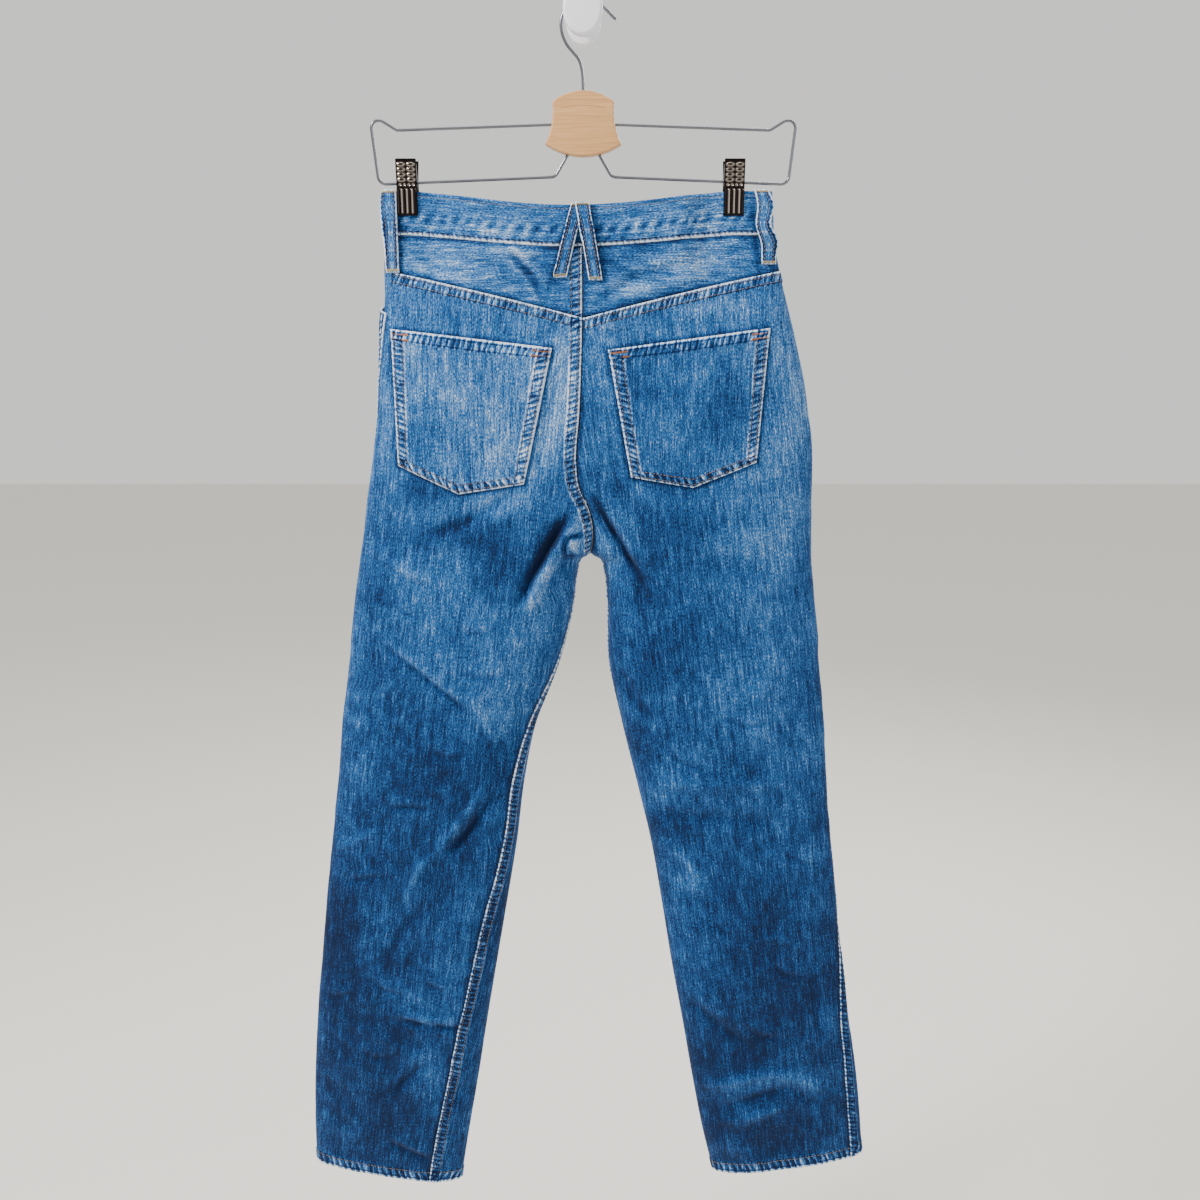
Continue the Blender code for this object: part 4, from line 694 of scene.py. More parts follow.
class Tree:
    # short names for making nodes
    def __init__(self, tree):
        self.tree = tree

    def node(self, kind, **settings):
        made = self.tree.nodes.new(kind)
        for key, value in settings.items():
            setattr(made, key, value)
        return made

    def feed(self, socket, value):
        if isinstance(value, bpy.types.NodeSocket):
            self.tree.links.new(value, socket)
        else:
            socket.default_value = value

    def made(self, kind, *values, output=0, **settings):
        # a node with its first inputs filled, given as one of its outputs
        node = self.node(kind, **settings)
        for socket, value in zip(node.inputs, values):
            self.feed(socket, value)
        return node.outputs[output]

    def add(self, a, b):
        return self.made("ShaderNodeMath", a, b, operation="ADD")

    def minus(self, a, b):
        return self.made("ShaderNodeMath", a, b, operation="SUBTRACT")

    def times(self, a, b):
        return self.made("ShaderNodeMath", a, b, operation="MULTIPLY")

    def apart(self, a, b):
        return self.made("ShaderNodeMath", self.minus(a, b), operation="ABSOLUTE")

    def sine(self, a):
        return self.made("ShaderNodeMath", a, operation="SINE")

    def fit(self, value, low, high):
        return self.made("ShaderNodeMapRange", value, low, high, 0.0, 1.0, interpolation_type="SMOOTHSTEP")

    def noise(self, vector, size, detail=2.0, roughness=0.5, distortion=0.0):
        scale = tuple(1 / s for s in size)
        scaled = self.made("ShaderNodeVectorMath", vector, scale, operation="MULTIPLY")
        made = self.node("ShaderNodeTexNoise")
        given = {"Vector": scaled, "Scale": 1.0, "Detail": detail, "Roughness": roughness, "Distortion": distortion}
        for key, value in given.items():
            self.feed(made.inputs[key], value)
        return made.outputs[0]

    def parts(self, vector):
        node = self.node("ShaderNodeSeparateXYZ")
        self.feed(node.inputs[0], vector)
        return node.outputs

    def blend(self, share, first, second):
        mix = self.node("ShaderNodeMix", data_type="RGBA")
        for key, value in ((0, share), (6, first), (7, second)):
            self.feed(mix.inputs[key], value)
        return mix.outputs[2]

    def ramp(self, value, stops, interpolation="LINEAR"):
        ramp = self.node("ShaderNodeValToRGB")
        self.feed(ramp.inputs[0], value)
        ramp.color_ramp.interpolation = interpolation
        elements = ramp.color_ramp.elements
        while len(elements) < len(stops):
            elements.new(0.5)
        for element, (place, colour) in zip(elements, stops):
            element.position = place
            element.color = (*colour, 1.0)
        return ramp.outputs[0]

    def bump(self, height, strength, distance):
        node = self.node("ShaderNodeBump")
        for key, value in (("Strength", strength), ("Distance", distance), ("Height", height)):
            self.feed(node.inputs[key], value)
        return node.outputs[0]


def newMaterial(name, **settings):
    # inputs are named without their spaces
    made = bpy.data.materials.new(name)
    made.use_nodes = True
    shader = made.node_tree.nodes["Principled BSDF"]
    for socket in shader.inputs:
        if socket.name.replace(" ", "") in settings:
            socket.default_value = settings[socket.name.replace(" ", "")]
    return made, Tree(made.node_tree), shader


def tonedMaterial(name, colour, roughness=0.5, metallic=0.0, specular=0.5):
    settings = {"BaseColor": (*colour, 1.0), "Roughness": roughness, "Metallic": metallic}
    return newMaterial(name, **settings, SpecularIORLevel=specular)[0]


denimLook = {
    "stops": (
        (0.00, srgb(0, 14, 44)),
        (0.20, srgb(4, 41, 87)),
        (0.40, srgb(19, 72, 130)),
        (0.60, srgb(54, 108, 164)),
        (0.80, srgb(118, 156, 198)),
        (1.00, srgb(226, 232, 238)),
    ),
    # width and length in metres, detail, roughness, distortion, amount
    "grains": {
        "streak": ((0.00095, 0.014, 1), 2.5, 0.6, 0.0, 0.92),
        "mark": ((0.0017, 0.034, 1), 1.5, 0.5, 0.3, 0.50),
        "slub": ((0.0042, 0.11, 1), 2.0, 0.5, 0.0, 0.30),
        "blotch": ((0.034, 0.050, 1), 4.0, 0.55, 0.4, 0.38),
        "mottle": ((0.0085, 0.013, 1), 3.0, 0.6, 0.3, 0.34),
        "fleck": ((0.0008, 0.0021, 1), 1.0, 0.5, 0.0, 1.05),
    },
    # at a seam: how far apart its puckers are and how strong their paler and darker bars, partly wear and partly
    # painted shade, for its four channels
    "pitch": (0.0048, 0.0048, 0.0048, 0.0068),
    "ladder": (0.80, 0.80, 0.80, 1.0),
    "farEdge": (0.24, 0.24, 0.0, 0.0),
    "edge": 0.60,
    # painted shade in the two sunk rows of stitches, and where the rows lie
    "groove": 0.26,
    "rows": (0.27, 0.88),
    "lining": srgb(176, 192, 208),
    "twill": (5200.0, 4300.0),
}


def seamTones(t, distance, runs, number):
    # puckers, rubbed edges and sunk rows of stitches beside one seam: the puckers are painted paler on their crests
    # and darker between them, partly wear and partly painted shade, and the sunk rows get painted shade
    look = denimLook
    place = t.node("ShaderNodeCombineXYZ")
    t.feed(place.inputs[0], t.add(runs, t.times(distance, 0.0035)))
    t.feed(place.inputs[1], t.times(distance, 0.007))
    t.feed(place.inputs[2], 0.37 * number)
    loose = t.fit(t.noise(place.outputs[0], (0.0040, 0.009, 1), 2.0, 0.5, 0.5), 0.30, 0.70)
    turns = t.times(t.parts(place.outputs[0])[0], 2 * math.pi / look["pitch"][number])
    ticks = t.add(t.times(t.sine(t.add(turns, t.times(loose, 3.2))), 0.5), 0.5)
    bars = t.add(t.times(ticks, 0.60), t.times(loose, 0.40))
    within = t.fit(distance, 1.08, 0.90)
    tones = [
        t.times(within, t.times(t.minus(bars, 0.56), look["ladder"][number])),
        t.times(t.fit(distance, 0.20, 0.08), look["edge"]),
        t.times(t.fit(t.apart(distance, 1.02), 0.13, 0.03), look["farEdge"][number]),
    ]
    # painted shade in the sunk rows of stitches
    tones += [t.times(t.fit(t.apart(distance, row), 0.085, 0.02), -look["groove"]) for row in look["rows"]]
    return tones, t.times(within, t.times(bars, 0.5))


def denimMaterial(name, lining=False):
    look = denimLook
    made, t, shader = newMaterial(
        name,
        Roughness=0.90,
        SpecularIORLevel=0.18,
        SheenWeight=0.10,
        SheenRoughness=0.45,
        SheenTint=(0.80, 0.88, 1.0, 1.0),
    )
    uv = t.node("ShaderNodeUVMap", uv_map="cloth").outputs[0]
    across, along, _ = t.parts(uv)
    tone = t.node("ShaderNodeAttribute", attribute_name="tone").outputs["Fac"]
    grains = {}
    for kind, (size, detail, roughness, distortion, amount) in look["grains"].items():
        grains[kind] = t.noise(uv, size, detail, roughness, distortion)
        tone = t.add(tone, t.times(t.minus(grains[kind], 0.5), amount))
    seams = t.node("ShaderNodeAttribute", attribute_name="seams")
    split = t.node("ShaderNodeSeparateColor")
    t.feed(split.inputs[0], seams.outputs["Color"])
    relief = t.times(grains["mottle"], 0.25)
    distances = (*split.outputs, seams.outputs["Alpha"])
    for number, (distance, runs) in enumerate(zip(distances, (along, along, across, across))):
        tones, height = seamTones(t, distance, runs, number)
        for part in tones:
            tone = t.add(tone, part)
        relief = t.add(relief, height)
    colour = t.ramp(tone, look["stops"], "B_SPLINE")
    if lining:
        colour = t.blend(0.72, colour, (*look["lining"], 1.0))
    t.feed(shader.inputs["Base Color"], colour)
    # the twill's diagonal lines
    twill = t.sine(t.add(t.times(across, look["twill"][0]), t.times(along, look["twill"][1])))
    height = t.add(t.add(t.times(twill, 0.05), t.times(grains["streak"], 0.30)), relief)
    t.feed(shader.inputs["Normal"], t.bump(height, 0.55, 0.0009))
    return made


materials = {
    "denim": denimMaterial("denimOutside"),
    "inside": denimMaterial("denimInside", True),
    "thread": tonedMaterial("threadGrey", srgb(146, 128, 104), 0.85, 0.0, 0.2),
    "tack": tonedMaterial("threadOrange", srgb(190, 122, 62), 0.80, 0.0, 0.2),
    "tan": tonedMaterial("threadTan", srgb(206, 186, 138), 0.80, 0.0, 0.2),
    "button": tonedMaterial("agedButton", srgb(150, 118, 84), 0.32, 1.0),
}


def put(obj):
    bpy.context.scene.collection.objects.link(obj)
    return obj


def show(obj, slot, *nodes):
    put(obj)
    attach(obj, "root")
    if nodes:
        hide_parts(*nodes)
    return obj


def shell(name, outer, inner, uv, seams, tone, slot, nodes):
    # a wall of cloth from two grids of points, with its rims closed
    rows, cols = outer.shape[:2]
    count = rows * cols
    co = np.concatenate([outer.reshape(-1, 3), inner.reshape(-1, 3)])
    index = np.arange(count).reshape(rows, cols)
    a, b, c, d = index[:-1, :-1], index[:-1, 1:], index[1:, 1:], index[1:, :-1]
    front = np.stack([a, b, c, d], axis=-1).reshape(-1, 4)
    rims = []
    for line in (index[0, :], index[:, -1], index[-1, ::-1], index[::-1, 0]):
        rims.append(np.stack([line[1:], line[:-1], line[:-1] + count, line[1:] + count], axis=-1))
    faceCorners = np.concatenate([front, front[:, ::-1] + count, *rims])
    first, second, third, fourth = (co[faceCorners[:, k]] for k in range(4))
    volume = np.einsum("ij,ij->i", first, np.cross(second, third) + np.cross(third, fourth)).sum()
    if volume < 0:
        faceCorners = faceCorners[:, ::-1]
    mesh = bpy.data.meshes.new(name)
    mesh.vertices.add(len(co))
    mesh.vertices.foreach_set("co", co.ravel())
    mesh.loops.add(faceCorners.size)
    mesh.loops.foreach_set("vertex_index", faceCorners.ravel())
    mesh.polygons.add(len(faceCorners))
    mesh.polygons.foreach_set("loop_start", np.arange(0, faceCorners.size, 4))
    lining = np.zeros(len(faceCorners), int)
    lining[len(front) : 2 * len(front)] = 1
    mesh.polygons.foreach_set("material_index", lining)
    mesh.update()
    twice = {key: np.concatenate([grid.ravel()] * 2) for key, grid in (("seams", seams), ("tone", tone))}
    both = np.concatenate([uv.reshape(-1, 2)] * 2)
    mesh.uv_layers.new(name="cloth").data.foreach_set("uv", both[faceCorners.ravel()].ravel())
    mesh.attributes.new("seams", "FLOAT_COLOR", "POINT").data.foreach_set("color", twice["seams"])
    mesh.attributes.new("tone", "FLOAT", "POINT").data.foreach_set("value", twice["tone"])
    for key in ("denim", "inside"):
        mesh.materials.append(materials[key])
    mesh.validate()
    mesh.shade_smooth()
    return show(bpy.data.objects.new(name, mesh), slot, *nodes)


def seamField(shape, **distances):
    # distances to up to four seamed edges, each as a share of its channel's width
    field = np.full((*shape, 4), 9.0)
    for key, value in distances.items():
        field[..., int(key[1])] = value
    return field


def cutOff(seams, channelNumber, limit):
    # keeps one of the distances only close to its seam
    kept = seams[..., channelNumber]
    seams[..., channelNumber] = np.where(kept < limit, kept, 9.0)


def rowsFor(length):
    return max(2, int(round(length / grain["step"])))


# the wall, a seam's rise and puckers, and how wide each seam's channel is
cloth = {
    "wall": 0.0013,
    "seamLift": 0.0008,
    "pucker": 0.00030,
    "inseam": 0.0105,
    "outseam": 0.0092,
    "yoke": 0.0098,
    "mouth": 0.0090,
    "hem": 0.0125,
    "hemLift": 0.0006,
    "hemPucker": 0.00045,
    "hemPaler": 0.16,
    "mouthLift": 0.0004,
    "outseamLift": 0.0005,
}
# the painted shadow along an edge: how strong and how wide
paintedEdgeShadows = {
    "pocket": (0.32, 0.0024),
    "inseam": (0.30, 0.0030),
    "outseam": (0.22, 0.0026),
    "yokeLow": (0.34, 0.0024),
    "yokeTop": (0.34, 0.0028),
}
scoop = {"wide": 0.086, "deep": 0.066, "power": 2.3, "under": 0.014}


def paintedEdgeShadow(kind, distance):
    amount, width = paintedEdgeShadows[kind]
    return amount * bell(distance, width)


def channel(distance, width, along, seed):
    return plateau(distance, width) * (cloth["seamLift"] + ladder(along, seed) * cloth["pucker"])


def trimmed(side, face, share, z):
    # leaves half the gap free at both seams
    trim = body["gap"] / 2 / widthAt(side, face, z)
    return trim + share * (1 - 2 * trim)


def scoopShare(side, drop, z):
    reach = scoop["wide"] * (1 - np.clip(drop / scoop["deep"], 0, 1) ** scoop["power"])
    return 1 - reach / widthAt(side, "front", z)


def panelGrid(side, face):
    # rows from the yoke or waist to the hem, level at the crotch
    crotch = body["crotch"]
    shares = np.linspace(0, 1, rowsFor(0.205) + 1)
    shares = shares - 0.045 * np.sin(2 * math.pi * shares)
    hemZ = atHem(side, face, shares)
    if face == "back":
        start = float(settle(side, face, 0.5, yokeLow, -0.22))
        top = settle(side, face, shares, yokeLow, -0.23) - body["gap"] / 2
        t = np.linspace(0, 1, rowsFor(start - crotch) + 1)[:-1, None]
        upper = top[None, :] + (crotch - top[None, :]) * t
        upperShare = np.broadcast_to(shares, upper.shape)
    else:
        mouth = np.cos(np.linspace(0, math.pi / 2, rowsFor(0.085) + 1)) ** 1.5
        drop = (scoop["deep"] * (1 - mouth) ** (1 / scoop["power"]))[:, None]
        share = np.broadcast_to(shares, (len(drop), len(shares)))
        for _ in range(5):
            z = underBand(side, face, share) - body["gap"] - drop
            share = shares[None, :] * scoopShare(side, drop, z)
        t = np.linspace(0, 1, rowsFor(-0.255 - crotch) + 1)[1:-1, None]
        rest = z[-1:] + (crotch - z[-1:]) * t
        upper = np.concatenate([z, rest])
        upperShare = np.concatenate([share, np.broadcast_to(shares, rest.shape)])
    t = np.linspace(0, 1, rowsFor(crotch - body["hem"]) + 1)[:, None]
    lower = crotch + (hemZ[None, :] - crotch) * t
    z = np.concatenate([upper, lower])
    share = np.concatenate([upperShare, np.broadcast_to(shares, lower.shape)])
    return z, trimmed(side, face, share, z), z - hemZ[None, :]


def legPanel(side, face):
    z, share, fromHem = panelGrid(side, face)
    width = widthAt(side, face, z)
    fromInner, fromOuter = share * width, (1 - share) * width
    legs = z < body["crotch"]
    below = z < -0.25
    seams = seamField(z.shape, s3=fromHem / cloth["hem"])
    hemBand = plateau(fromHem, cloth["hem"])
    lift = hemBand * (cloth["hemLift"] + ladder(fromInner, 3) * cloth["hemPucker"])
    if face == "back":
        fromTop = settle(side, face, share, yokeLow, -0.23) - z
        seams[..., 2] = np.where(fromTop < 0.03, fromTop / cloth["yoke"], 9.0)
        lift += channel(fromTop, cloth["yoke"], fromInner, 7)
        if side == "left":
            seams[..., 0] = np.where(legs, 9.0, fromInner / cloth["inseam"])
            lift += np.where(legs, 0, channel(fromInner, cloth["inseam"], z, 9))
        near = np.where(legs, np.exp(-fromInner / 0.006), 0) + np.exp(-fromOuter / 0.006)
        lift += near * ladder(z, 13, 0.0071) * 0.00022
    else:
        seams[..., 0] = np.where(legs, fromInner / cloth["inseam"], 9.0)
        seams[..., 1] = np.where(below, fromOuter / cloth["outseam"], 9.0)
        lift += np.where(legs, channel(fromInner, cloth["inseam"], z, 15), 0)
        outerLift = cloth["outseamLift"] + ladder(z, 17) * cloth["pucker"]
        lift += np.where(below, plateau(fromOuter, cloth["outseam"]), 0) * outerLift
        mouth = frontMouthDistance(side, share, z)
        seams[..., 2] = np.where(mouth < 0.03, mouth / cloth["mouth"], 9.0)
        lift += plateau(mouth, cloth["mouth"]) * cloth["mouthLift"]
    stray = edgeWander(side, z) * bell(fromOuter, 0.020)
    stray = stray * smoothStep((-0.27 - z) / 0.06) * smoothStep((z - body["hem"]) / 0.03)
    outer = lifted(side, face, share, z, lift + stray)
    inner = lifted(side, face, share, z, stray - cloth["wall"])
    x = outer[..., 0]
    across = (fromInner - warpPlace(side, face, z)) * away[side]
    uv = np.stack([across + (0.4 if face == "front" else 0), z], axis=-1)
    tone = toneAt(side, face, x, z) + hemBand * cloth["hemPaler"]
    if face == "back":
        # painted shadows beside the pocket's outline, the seat seam and inseam, and the outseam
        tone -= paintedEdgeShadow("pocket", pocketDistance(side, x, z))
        tone -= np.where(legs | (side == "right"), paintedEdgeShadow("inseam", fromInner), 0)
        tone -= np.where(below, paintedEdgeShadow("outseam", fromOuter), 0)
    name = f"cloth{face.capitalize()}{side.capitalize()}"
    nodes = [f"{face}_{side}_{part}" for part in ("upper", "thigh", "knee", "calf")]
    obj = shell(name, outer, inner, uv, seams, tone, "denim", nodes)


def frontMouthDistance(side, share, z):
    # rough distance from the pocket mouth's edge, measured across the front
    under = underBand(side, "front", share) - z
    drop = np.clip(under, 0, scoop["deep"])
    reach = scoop["wide"] * (1 - (drop / scoop["deep"]) ** scoop["power"])
    fromOuter = (1 - share) * widthAt(side, "front", z)
    sideways = fromOuter - reach
    below = under - scoop["deep"] * np.clip(1 - fromOuter / scoop["wide"], 0, 1) ** (1 / scoop["power"])
    distance = np.where(below > 0, sideways * below / np.hypot(sideways, below + 1e-6), 0)
    return np.where((fromOuter < scoop["wide"] + 0.02) & (under < scoop["deep"] + 0.02), distance, 9.0)


def yoke(side):
    shares = np.linspace(0, 1, rowsFor(0.17) + 1)
    top = underBand(side, "back", shares, -0.18) - body["gap"]
    low = settle(side, "back", shares, yokeLow, -0.24) + body["gap"] / 2
    z = top[None, :] + (low - top)[None, :] * np.linspace(0, 1, rowsFor(0.065) + 1)[:, None]
    share = trimmed(side, "back", np.broadcast_to(shares, z.shape), z)
    fromInner = share * widthAt(side, "back", z)
    lift = np.zeros(z.shape)
    seams = seamField(z.shape)
    if side == "left":
        seams[..., 2] = fromInner / cloth["inseam"]
        lift += channel(fromInner, cloth["inseam"], z, 19)
    outer = lifted(side, "back", share, z, lift)
    inner = lifted(side, "back", share, z, -cloth["wall"])
    uv = np.stack([z, fromInner * away[side]], axis=-1)
    tone = toneAt(side, "back", outer[..., 0], z)
    # painted shadows along the yoke's lower and upper edges, and beside the seat seam on the right
    tone -= paintedEdgeShadow("yokeLow", z - low[None, :]) + paintedEdgeShadow("yokeTop", z - top[None, :])
    if side == "right":
        tone -= paintedEdgeShadow("inseam", fromInner)
    obj = shell(f"clothYoke{side.capitalize()}", outer, inner, uv, seams, tone, "denim", [f"yoke_{side}"])


facingSheet = {"outer": -0.0020, "inner": -0.0030, "dip": 0.0016, "edge": 0.0006, "darker": 0.10}


def facing(side):
    wide, tall = rowsFor(0.10), rowsFor(0.08)
    drop = np.linspace(0, scoop["deep"] + scoop["under"], tall + 1)[:, None]
    i = np.linspace(0, 1, wide + 1)[None, :]
    share = np.full((tall + 1, wide + 1), 0.8)
    for _ in range(5):
        z = underBand(side, "front", share) - body["gap"] - drop
        width = widthAt(side, "front", z)
        start = scoopShare(side, np.minimum(drop, scoop["deep"] * 0.97), z) - scoop["under"] / width
        share = start + (1 - facingSheet["edge"] / width - start) * i
    dip = facingSheet["dip"] * smoothStep((drop / scoop["deep"] - 0.30) / 0.5)
    outer = lifted(side, "front", share, z, facingSheet["outer"] - dip)
    inner = lifted(side, "front", share, z, facingSheet["inner"] - dip)
    uv = np.stack([share * width, z], axis=-1)
    tone = toneAt(side, "front", outer[..., 0], z) - facingSheet["darker"]
    name = f"clothFacing{side.capitalize()}"
    obj = shell(name, outer, inner, uv, seamField(z.shape), tone, "denim", [f"front_pocket_facing_{side}"])


band = {
    "mid": -0.16075,
    "thick": 0.0030,
    "out": 0.0008,
    "overlap": 0.036,
    "pitch": 0.0125,
    "slant": 0.020,
    # height over the lower edge, half width, strength
    "hollows": ((0.0140, 0.0036, 1.0), (0.0056, 0.0022, 0.8)),
    "crest": (0.0150, 0.0060),
    "pressed": (0.0096, 0.0013),
    "lifts": {"pucker": 0.00060, "pressed": 0.00025, "edge": 0.0005},
    # how much paler the pucker crests and the pressed line are, and how much darker the hollows: painted shade in the
    # hollows, wear and painted highlight on the crests
    "tones": {"crest": 0.26, "hollow": 0.36, "pressed": 0.20},
    "seams": (0.020, 0.0120),
}
bandStretches = (("left", "front"), ("left", "back"), ("right", "back"), ("right", "front"))


def bandPlaces():
    # side, face and where each stretch begins and ends, from the centre front over the left side
    found = []
    begin = 0.0
    for side, face in bandStretches:
        width = float(widthAt(side, face, band["mid"]))
        found.append((side, face, begin, begin + width))
        begin += width
    return found, begin


def bandGrid(distance, down, out):
    stretches, girth = bandPlaces()
    distance = np.asarray(distance, float)
    points = np.zeros((len(down), len(distance), 3))
    for number, (side, face, begin, end) in enumerate([*stretches, ("left", "front", girth, girth + 0.2)]):
        pick = (distance >= begin) & (distance <= end)
        if not pick.any():
            continue
        t = (distance[pick] - begin) / float(widthAt(side, face, band["mid"]))
        share = t if number in (0, 2, 4) else 1 - t
        share = np.maximum(share, 0.0005)
        x = onSkin(side, face, share, np.full(share.shape, band["mid"]))[..., 0]
        z = bandTop(face, x)[None, :] + (bandLow(face, x) - bandTop(face, x))[None, :] * down[:, None]
        lift = np.broadcast_to(out, (len(down), len(distance)))[:, pick]
        points[:, pick] = lifted(side, face, np.broadcast_to(share, z.shape), z, lift)
    return points


def waistband():
    _, girth = bandPlaces()
    length = girth + band["overlap"]
    distance = np.linspace(0, length, rowsFor(length) + 1)
    down = np.linspace(0, 1, 2 * rowsFor(0.036) + 1)
    under = (band["thick"] + 0.0004) * smoothStep((distance - girth + 0.030) / 0.026)
    dd, ss = np.meshgrid(down, distance, indexing="ij")
    fromLow, fromTop = (1 - dd) * bandEdge["tall"], dd * bandEdge["tall"]
    beat = ladder(ss + dd * band["slant"], 29, band["pitch"])
    hollow = sum(strength * bell(fromLow - height, wide) for height, wide, strength in band["hollows"])
    hollow = np.maximum(beat, 0) ** 1.3 * hollow
    height, wide = band["crest"]
    crest = np.maximum(-beat, 0) ** 1.5 * bell(fromLow - height, wide)
    height, wide = band["pressed"]
    pressed = bell(fromLow - height, wide) * (0.7 + 0.5 * softNoise(ss, dd, 0.012, 35))
    uneven = 0.65 + 0.5 * softNoise(ss, dd, 0.030, 31)
    pucker = (crest - hollow) * uneven
    lifts, tones = band["lifts"], band["tones"]
    # the pucker crests and pressed line are painted paler and the hollows darker: painted shade and highlight, with
    # wear on the crests
    painted = (crest * tones["crest"] - hollow * tones["hollow"]) * uneven + pressed * tones["pressed"]
    edges = smoothStep(fromLow / 0.0012) * smoothStep(fromTop / 0.0016)
    out = band["out"] - under[None, :] + pucker * lifts["pucker"]
    out = out + pressed * lifts["pressed"] - (1 - edges) * lifts["edge"]
    outer = bandGrid(distance, down, out)
    inner = bandGrid(distance, down, band["out"] - under[None, :] - band["thick"] + 0 * dd)
    uv = np.stack([dd * 0.036, ss], axis=-1)
    topWide, lowWide = band["seams"]
    seams = seamField(dd.shape, s0=fromTop / topWide + 0.14, s1=fromLow / lowWide)
    cutOff(seams, 0, 0.2)
    cutOff(seams, 1, 0.34)
    x, z = outer[..., 0], outer[..., 2]
    tone = np.where(x < 0, toneAt("left", "back", x, z), toneAt("right", "back", x, z))
    obj = shell("clothWaistband", outer, inner, uv, seams, tone + painted, "denim", ["waistband"])


def pocketDistance(side, x, z):
    # distance from a pocket's outline
    corners = [np.array(p) for p in pockets[side]]
    nearest = np.full(np.shape(x), 1.0)
    for a, b in zip(corners, corners[1:] + corners[:1]):
        run = b - a
        t = np.clip(((x - a[0]) * run[0] + (z - a[1]) * run[1]) / (run @ run), 0, 1)
        nearest = np.minimum(nearest, np.hypot(x - a[0] - t * run[0], z - a[1] - t * run[1]))
    return nearest


def pocketPlace(side, across, down):
    leftTop, rightTop, rightLow, point, leftLow = (np.array(p) for p in pockets[side])
    across, down = np.broadcast_arrays(across, down)
    a, d = across[..., None], down[..., None]
    top = leftTop * (1 - a) + rightTop * a
    low = np.where(a <= 0.5, leftLow * (1 - 2 * a) + point * 2 * a, point * (2 - 2 * a) + rightLow * (2 * a - 1))
    return top * (1 - d) + low * d


def pocketLift(side, across, down):
    # it swells a little, sags open at the top, and is rolled at its edges
    bulge = np.sin(math.pi * across) ** 0.8 * np.sin(math.pi * np.clip(down, 0, 1)) ** 0.8
    mouth = np.sin(math.pi * across) * np.exp(-down / 0.16)
    wander = softNoise(across * 0.14, down * 0.12, 0.028, 41 if side == "left" else 43)
    return bulge * (0.0011 + wander * 0.0006) + mouth * 0.0008


pocket = {"wide": 0.135, "tall": 0.125, "side": 0.0115, "top": 0.0105, "low": 0.0085, "pitch": 0.0066, "base": 0.0005}


def backPocket(side):
    wide, tall = rowsFor(0.14), rowsFor(0.13)
    wide += wide % 2
    across = np.linspace(0, 1, wide + 1)[None, :] + np.zeros((tall + 1, 1))
    down = np.linspace(0, 1, tall + 1)[:, None] + np.zeros((1, wide + 1))
    spot = pocketPlace(side, across, down)
    x, z = spot[..., 0], spot[..., 1]
    fromLeft, fromRight = across * pocket["wide"], (1 - across) * pocket["wide"]
    fromTop, fromLow = down * pocket["tall"], (1 - down) * pocket["tall"]
    fromSide = np.minimum(fromLeft, fromRight)
    rolled = smoothStep(np.minimum(fromSide, np.minimum(fromTop, fromLow)) / 0.0016)
    sewn = np.maximum(plateau(fromSide, pocket["side"]), plateau(fromLow, pocket["low"]))
    beat = np.where(fromLow < fromSide, ladder(x, 47, pocket["pitch"]), ladder(z, 45, pocket["pitch"]))
    swell = pocketLift(side, across, down)
    lift = pocket["base"] + swell + sewn * (0.0003 + beat * 0.00028) + plateau(fromTop, pocket["top"]) * 0.0007
    outer = faceLifted(side, x, z, lift + 0.0006 + rolled * 0.0009)
    inner = faceLifted(side, x, z, lift * 0 + 0.0004)
    uv = np.stack([x + 0.7, z], axis=-1)
    seams = seamField(x.shape, s0=fromLeft / pocket["side"], s1=fromRight / pocket["side"])
    seams[..., 2], seams[..., 3] = fromTop / pocket["top"], fromLow / pocket["low"]
    tone = toneAt(side, "back", x, z) + swell * 30 + (0.04 if side == "left" else -0.02)
    name = f"clothPocket{side.capitalize()}"
    obj = shell(name, outer, inner, uv, seams, tone, "denim_worn", [f"back_pocket_{side}"])


loops = {
    # side, face, x at the top and the bottom, bottom z, bow, wave, over, tone
    "back_left": ("left", "back", -0.0044, -0.0203, -0.2155, 0.0028, 0.0, 0.0, 0.04),
    "back_right": ("right", "back", -0.0008, 0.0106, -0.2180, 0.0034, 0.0, 0.0024, 0.10),
    "side_left": ("left", "back", -0.1672, -0.1664, -0.2110, 0.0026, 0.0, 0.0, 0.16),
    "side_right": ("right", "back", 0.1530, 0.1610, -0.2040, 0.0052, 0.0020, 0.0, 0.16),
    "front_left": ("left", "front", -0.0880, -0.0880, -0.2125, 0.0028, 0.0, 0.0, 0.08),
    "front_right": ("right", "front", 0.0880, 0.0880, -0.2125, 0.0028, 0.0, 0.0, 0.08),
}
loopShape = {"wide": 0.0116, "thick": 0.0010, "base": 0.0008, "waves": 3.1, "ripples": 4.2, "over": (0.35, 0.40)}


def shareAtX(side, face, x, z):
    shares = np.linspace(0.0, 1.1, 221)
    found = []
    for target, height in zip(np.atleast_1d(x), np.atleast_1d(z)):
        run = away[side] * onSkin(side, face, shares, np.full(221, height))[..., 0]
        last = int(np.argmax(run)) + 1
        found.append(np.interp(away[side] * target, run[:last], shares[:last]))
    return np.array(found)


